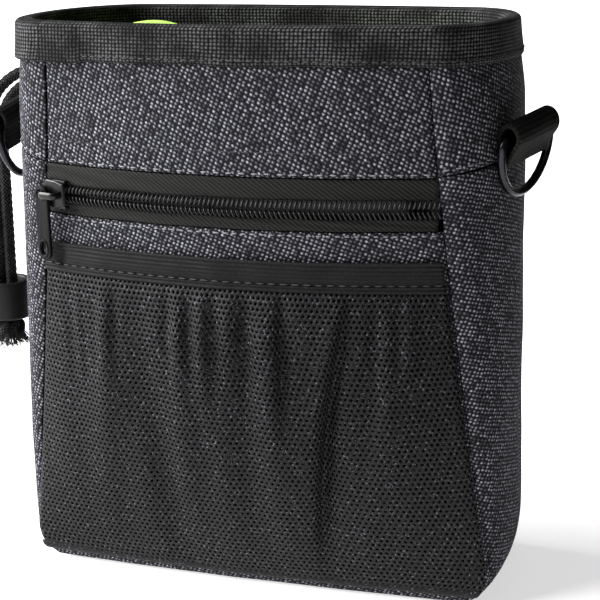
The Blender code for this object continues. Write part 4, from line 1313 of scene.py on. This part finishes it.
# Black polypropylene webbing with fine ribs across it, and steel wire plated black nickel.
webbing = ribbed_tape("polypropylene_webbing", "0c0c0b", "30302d", 0.78, 1.30, 0.0, 0.00022)
black_nickel = moulded("black_nickel_wire", "1d1d20", "3c3c40", 0.27, 1500.0, 0.00002,
                       metallic=1.0)
for side, (middle, bar, sign, hang) in RING_PLACES.items():
    bar = bar.normalized()
    out = (Vector((sign, 0.0, 0.0)) - bar * bar.x * sign).normalized()
    up = out.cross(bar) * (1.0 if out.cross(bar).z > 0 else -1.0)
    axes = Matrix((bar, out, up)).transposed().to_4x4()
    if axes.determinant() < 0:
        axes = axes @ Matrix.Scale(-1.0, 4, (1.0, 0.0, 0.0))
    place = Matrix.Translation(middle) @ axes @ Matrix.Rotation(radians(-hang), 4, "X")
    ring = "d_ring_" + side
    add_piece(ring + "_wire", wire_mesh(ring + "_wire", ring_outline(), RING_WIRE, place),
              black_nickel, ring, ring)
    rows = [[middle + bar * x * TAB_WIDTH + out * a + up * b for x in spread(-0.5, 0.5, 17)]
            for a, b in tab_path()]
    if sign < 0:
        rows = [list(reversed(row)) for row in rows]
    name = "d_ring_tab_" + side
    tab = cloth_piece(name + "_webbing", rows, webbing, name, WEB)
    declare_cut(tab)
    rounded = tab.modifiers.new("soft_edge", "BEVEL")
    rounded.width = 0.00035
    rounded.segments = 2
    rounded.limit_method = "ANGLE"
    rounded.angle_limit = radians(50.0)

# ---- Drawstring -----------------------------------------------------------------------------
# A 3.2 mm braided polyester cord runs round inside the collar. Both ends leave by one eyelet
# in the left gusset, pass through a moulded stop and end together in a knot that has frayed.
CORD = 0.0032
CORD_SPLIT = 0.0034
EYELET_Y = 0.0085
EYELET_Z = 0.1400
EYELET_HOLE = 0.0038
CORD_X = -0.0900
STOP_LOW = 0.0650
STOP_HEIGHT = 0.0120
STOP_RADIUS = 0.0075
KNOT_LOW = 0.0560
LOOP_INSET = 0.0070
HALF_SPLIT = 0.5 * CORD_SPLIT
FLANGE_RADIUS = 0.0062
BARREL = 0.0005


def gusset_frame(y, z):
    """Point and outward direction on the right gusset at a given y."""
    turn = pi - abs(atan2(sqrt(depth_half(z) ** 2 - y * y), y))
    rear = gusset_point(turn + 0.02, z) - gusset_point(turn - 0.02, z)
    up = gusset_point(turn, z + 0.002) - gusset_point(turn, z - 0.002)
    return gusset_point(turn, z), rear.cross(up).normalized()


def smooth_line(points, spacing):
    """Points along a Catmull-Rom curve through the given points, about evenly spaced."""
    knots = [Vector(point) for point in points]
    knots = [2 * knots[0] - knots[1]] + knots + [2 * knots[-1] - knots[-2]]
    line = []
    for a, b, c, d in zip(knots, knots[1:], knots[2:], knots[3:]):
        count = max(1, round((c - b).length / spacing))
        for i in range(count):
            t = i / count
            line.append(0.5 * ((2 * b) + (c - a) * t + (2 * a - 5 * b + 4 * c - d) * t * t
                               + (3 * b - a - 3 * c + d) * t ** 3))
    line.append(knots[-2])
    return line


def braided_tube(name, points, diameter, sides=24, braid=0.00020):
    """A closed tube along the points whose surface is raised in a braid's diamonds. Its map,
    in millimetres, runs round the cord and along it."""
    verts, faces, flat = [], [], []
    side = Vector((0.0, 1.0, 0.0))
    run = 0.0
    runs = []
    for k, point in enumerate(points):
        along = (points[min(k + 1, len(points) - 1)] - points[max(k - 1, 0)]).normalized()
        side = (side - along * side.dot(along)).normalized()
        other = along.cross(side)
        run += (point - points[k - 1]).length if k else 0.0
        runs.append(run)
        end = min(k, len(points) - 1 - k)
        for i in range(sides):
            a = 2.0 * pi * i / sides
            turn = run / 0.0021 * pi
            lump = cos(3.0 * a + turn) * cos(3.0 * a - turn)
            radius = 0.5 * diameter * (0.80 if end == 0 else 1.0) + braid * lump
            verts.append(point + (side * cos(a) + other * sin(a)) * radius)
    for k in range(len(points) - 1):
        for i in range(sides):
            j = (i + 1) % sides
            faces.append((k * sides + i, k * sides + j, (k + 1) * sides + j, (k + 1) * sides + i))
            around = [i / sides, (i + 1) / sides]
            flat += [(around[0] * pi * diameter, runs[k]), (around[1] * pi * diameter, runs[k]),
                     (around[1] * pi * diameter, runs[k + 1]),
                     (around[0] * pi * diameter, runs[k + 1])]
    last = (len(points) - 1) * sides
    faces += [tuple(reversed(range(sides))), tuple(range(last, last + sides))]
    flat += [(0.0, 0.0)] * (2 * sides)
    data = bpy.data.meshes.new(name)
    data.from_pydata([tuple(v) for v in verts], [], faces)
    cloth_map = data.uv_layers.new(name="cloth")
    cloth_map.data.foreach_set("uv", (np.array(flat) * MM).ravel())
    data.shade_smooth()
    return data


eyelet_spot, eyelet_out = (mirrored(v) for v in gusset_frame(EYELET_Y, EYELET_Z))
eyelet_place = (Matrix.Translation(eyelet_spot)
                @ eyelet_out.to_track_quat("Z", "Y").to_matrix().to_4x4())
EXIT_X = eyelet_spot.x - 0.0016
# Black polyester braid: the ribs are turned half a right angle, to lie as its diamonds do.
black_braid = ribbed_tape("braided_polyester_black", "050505", "454545", 0.80, 0.80, 45.0, 0.0003)


def turned_mesh(name, profile, place, steps=48):
    """A closed (radius, height) outline turned about Z, then put in its place."""
    shape = bmesh.new()
    rings = [[shape.verts.new((r * cos(a), r * sin(a), h)) for r, h in profile]
             for a in spread(0.0, 2.0 * pi, steps + 1)[:-1]]
    return join_shapes(name, [close_rings(shape, rings, True)], place, 50.0)


def eyelet_profile():
    """The rolled flange outside, and the barrel through the cloth."""
    crown = arc((0.5 * (FLANGE_RADIUS + EYELET_HOLE), 0.0005),
                0.5 * (FLANGE_RADIUS - EYELET_HOLE), 0.0008, pi, 0.0, 11)
    return crown + [(FLANGE_RADIUS, 0.0004), (EYELET_HOLE + BARREL, 0.0004),
                    (EYELET_HOLE + BARREL, -0.0029), (EYELET_HOLE, -0.0029)]


add_piece("eyelet_flange", turned_mesh("eyelet_flange", eyelet_profile(), eyelet_place),
          black_nickel, "eyelet")
washer_profile = [(EYELET_HOLE + BARREL + 0.0002, -0.0024), (FLANGE_RADIUS - 0.0002, -0.0024),
                  (FLANGE_RADIUS, -0.0026), (FLANGE_RADIUS - 0.0002, -0.0028),
                  (EYELET_HOLE + BARREL + 0.0002, -0.0028)]
add_piece("eyelet_back_washer", turned_mesh("eyelet_back_washer", washer_profile, eyelet_place),
          black_nickel, "eyelet_washer")


def loop_route():
    """From the eyelet inwards, once round the mouth in its channel, and out again."""
    ring = mouth_ring(EYELET_Z, LOOP_INSET, 17, 13)
    ring = [point for point in ring if point.x > -0.058 or abs(point.y - EYELET_Y) > 0.012]
    near = Vector((-0.062, -0.004, EYELET_Z))
    start = min(range(len(ring)), key=lambda i: (ring[i] - near).length)
    ring = ring[start:] + ring[:start]
    high = Vector((0.0, 0.0, HALF_SPLIT))
    inner = Vector((eyelet_spot.x + 0.0072, EYELET_Y, EYELET_Z))
    outer = Vector((EXIT_X, EYELET_Y, EYELET_Z))
    first = [outer + high, inner + high + Vector((-0.0022, 0.0, 0.0)),
             inner + high + Vector((0.0002, -0.0024, 0.0))]
    last = [inner - high + Vector((0.0002, 0.0024, 0.0)),
            inner - high + Vector((-0.0022, 0.0, 0.0)), outer - high]
    count = len(ring)
    middle = [point + high * (1.0 - 2.0 * i / (count - 1)) for i, point in enumerate(ring)]
    return first + middle + last


def tail_route(rise, x):
    """Out of the eyelet, over in a bend and straight down to the knot."""
    top = EYELET_Z + rise
    start = EXIT_X - GAP
    drop = start - x
    bend = [(start, EYELET_Y, top), (start - 0.35 * drop, EYELET_Y, top + 0.0004),
            (start - 0.70 * drop, EYELET_Y, top - 0.0030),
            (x + 0.0011, EYELET_Y, top - 0.0090), (x, EYELET_Y, top - 0.0180)]
    return bend + [(x, EYELET_Y, z) for z in (0.106, 0.090, 0.078, STOP_LOW - GAP)]


add_piece("drawstring_loop_cord", braided_tube(
    "drawstring_loop_cord", smooth_line(loop_route(), 0.0012), CORD, sides=12), black_braid,
    "drawstring_loop")


def stop_profile():
    """A barrel with rounded rims and a dished top round the bore."""
    bore = 0.0037
    half = 0.5 * STOP_HEIGHT
    rim = 0.0009
    top = arc((STOP_RADIUS - rim, half - rim), rim, rim, pi, 0.0, 11)
    foot = arc((STOP_RADIUS - rim, rim - half), rim, -rim, 0.0, 0.5 * pi, 6)
    dish = [(bore, -half), (bore, half - 0.0042), (bore + 0.0004, half - 0.0036),
            (0.0054, half - 0.0030)]
    return top + foot + dish


# Black acetal with a fine moulded grain.
acetal = moulded("moulded_acetal_black", "0b0b0c", "161617", 0.48, 3800.0, 0.00005, shine=0.2)
stop_place = Matrix.Translation((CORD_X, EYELET_Y, STOP_LOW + 0.5 * STOP_HEIGHT))
stop = add_piece("cord_stop_barrel", turned_mesh("cord_stop_barrel", stop_profile(), stop_place),
                 acetal, "cord_stop", "cord_stop")


def fibre_curve(seed, count):
    """Frayed fibres that spring out and down from under the knot."""
    chance = random.Random(seed)
    curve = bpy.data.curves.new("fibres", "CURVE")
    curve.dimensions = "3D"
    curve.bevel_depth = 0.00017
    curve.bevel_resolution = 0
    curve.use_fill_caps = True
    for _ in range(count):
        a = chance.uniform(0.0, 2.0 * pi)
        start = chance.uniform(0.0006, 0.0034)
        spray = chance.uniform(0.25, 1.0)
        low = chance.uniform(0.0052, 0.0086)
        spline = curve.splines.new("POLY")
        spline.points.add(4)
        for k, knot in enumerate(spline.points):
            t = k / 4.0
            radius = start + spray * 0.0042 * t ** 1.4
            bend = a + chance.uniform(-0.25, 0.25) * t
            z = 0.0072 - low * t ** 0.9 + chance.uniform(-0.0003, 0.0003) * t
            knot.co = (radius * cos(bend), radius * sin(bend), max(z, 0.00015), 1.0)
            knot.radius = 1.0 - 0.45 * t
    return curve


def knot_route():
    """One overhand turn of both cords, pulled tight, as a trefoil lying in the knot."""
    points = [Vector(((sin(a) + 2.0 * sin(2.0 * a)) * 0.00115,
                      (cos(a) - 2.0 * cos(2.0 * a)) * 0.00115, 0.0052 - sin(3.0 * a) * 0.00125))
              for a in spread(0.0, 2.0 * pi, 62)[:-1]]
    return points + points[:1]


fibre_mesh = plain_mesh(in_scene("fibres", fibre_curve(4, 260)), "fibres")
knot_shapes = []
for part in (fibre_mesh, braided_tube("knot", knot_route(), 0.0029, sides=14)):
    shape = bmesh.new()
    shape.from_mesh(part)
    knot_shapes.append(shape)
knot = add_piece("cord_knot_frayed", join_shapes(
    "cord_knot_frayed", knot_shapes, Matrix.Translation((CORD_X, EYELET_Y, KNOT_LOW))),
    black_braid, "cord_knot")

for name, rise, x in (("outer", HALF_SPLIT, CORD_X - HALF_SPLIT),
                      ("inner", -HALF_SPLIT, CORD_X + HALF_SPLIT)):
    route = smooth_line(tail_route(rise, x), 0.0006)
    tail = add_piece("drawstring_tail_" + name + "_cord", braided_tube(
        "drawstring_tail_" + name + "_cord", route, CORD), black_braid,
        "drawstring_tail_" + name)

# ---- Belt loop ------------------------------------------------------------------------------
# A strap of 38 mm webbing on the back, sewn down at both ends with a boxed cross.
BELT_HALF = 0.0190
BELT_LOW = 0.0880
BELT_TOP = 0.1460
BELT_GAP = 0.0064
SEWN = 0.0080
RAMP = 0.0060


def belt_stand(z):
    """How far the loop's outer face stands off the back panel."""
    inner = min(z - BELT_LOW, BELT_TOP - z)
    return GAP + WEB + BELT_GAP * min(1.0, max(0.0, (inner - SEWN) / RAMP))


def belt_point(x, z, out=0.0):
    """A point on the loop's outer face, which stands clear of the back's own bulge."""
    flat = depth_half(z) + BACK_BULGE + 0.00045
    return Vector((x, flat + belt_stand(z) + out, z))


belt_rows = [[belt_point(x, z) for x in spread(BELT_HALF, -BELT_HALF, 30)]
             for z in spread(BELT_LOW, BELT_TOP, 60)]
# The tabs' webbing woven wider, its ribs level.
belt_webbing = ribbed_tape("belt_webbing", "0c0c0b", "30302d", 1.30, 0.78, 0.0, 0.00022)
belt = cloth_piece("belt_loop_strap", belt_rows, belt_webbing, "belt_loop", WEB)
declare_cut(belt)


def boxed_cross(low, high):
    """The stitch lines at one end: round a box, and corner to corner."""
    half = BELT_HALF - 0.0025
    corners = [(-half, low), (half, low), (half, high), (-half, high)]
    lines = [[corners[0], corners[1]], [corners[1], corners[2]], [corners[2], corners[3]],
             [corners[3], corners[0]], [corners[0], corners[2]], [corners[1], corners[3]]]
    return [[belt_point(ax + (bx - ax) * t, az + (bz - az) * t, 0.00008)
             for t in spread(0.0, 1.0, 12)] for (ax, az), (bx, bz) in lines]


stitch_row("belt_stitching", boxed_cross(BELT_LOW + 0.0012, BELT_LOW + SEWN - 0.0012)
           + boxed_cross(BELT_TOP - SEWN + 0.0012, BELT_TOP - 0.0012), black_thread)
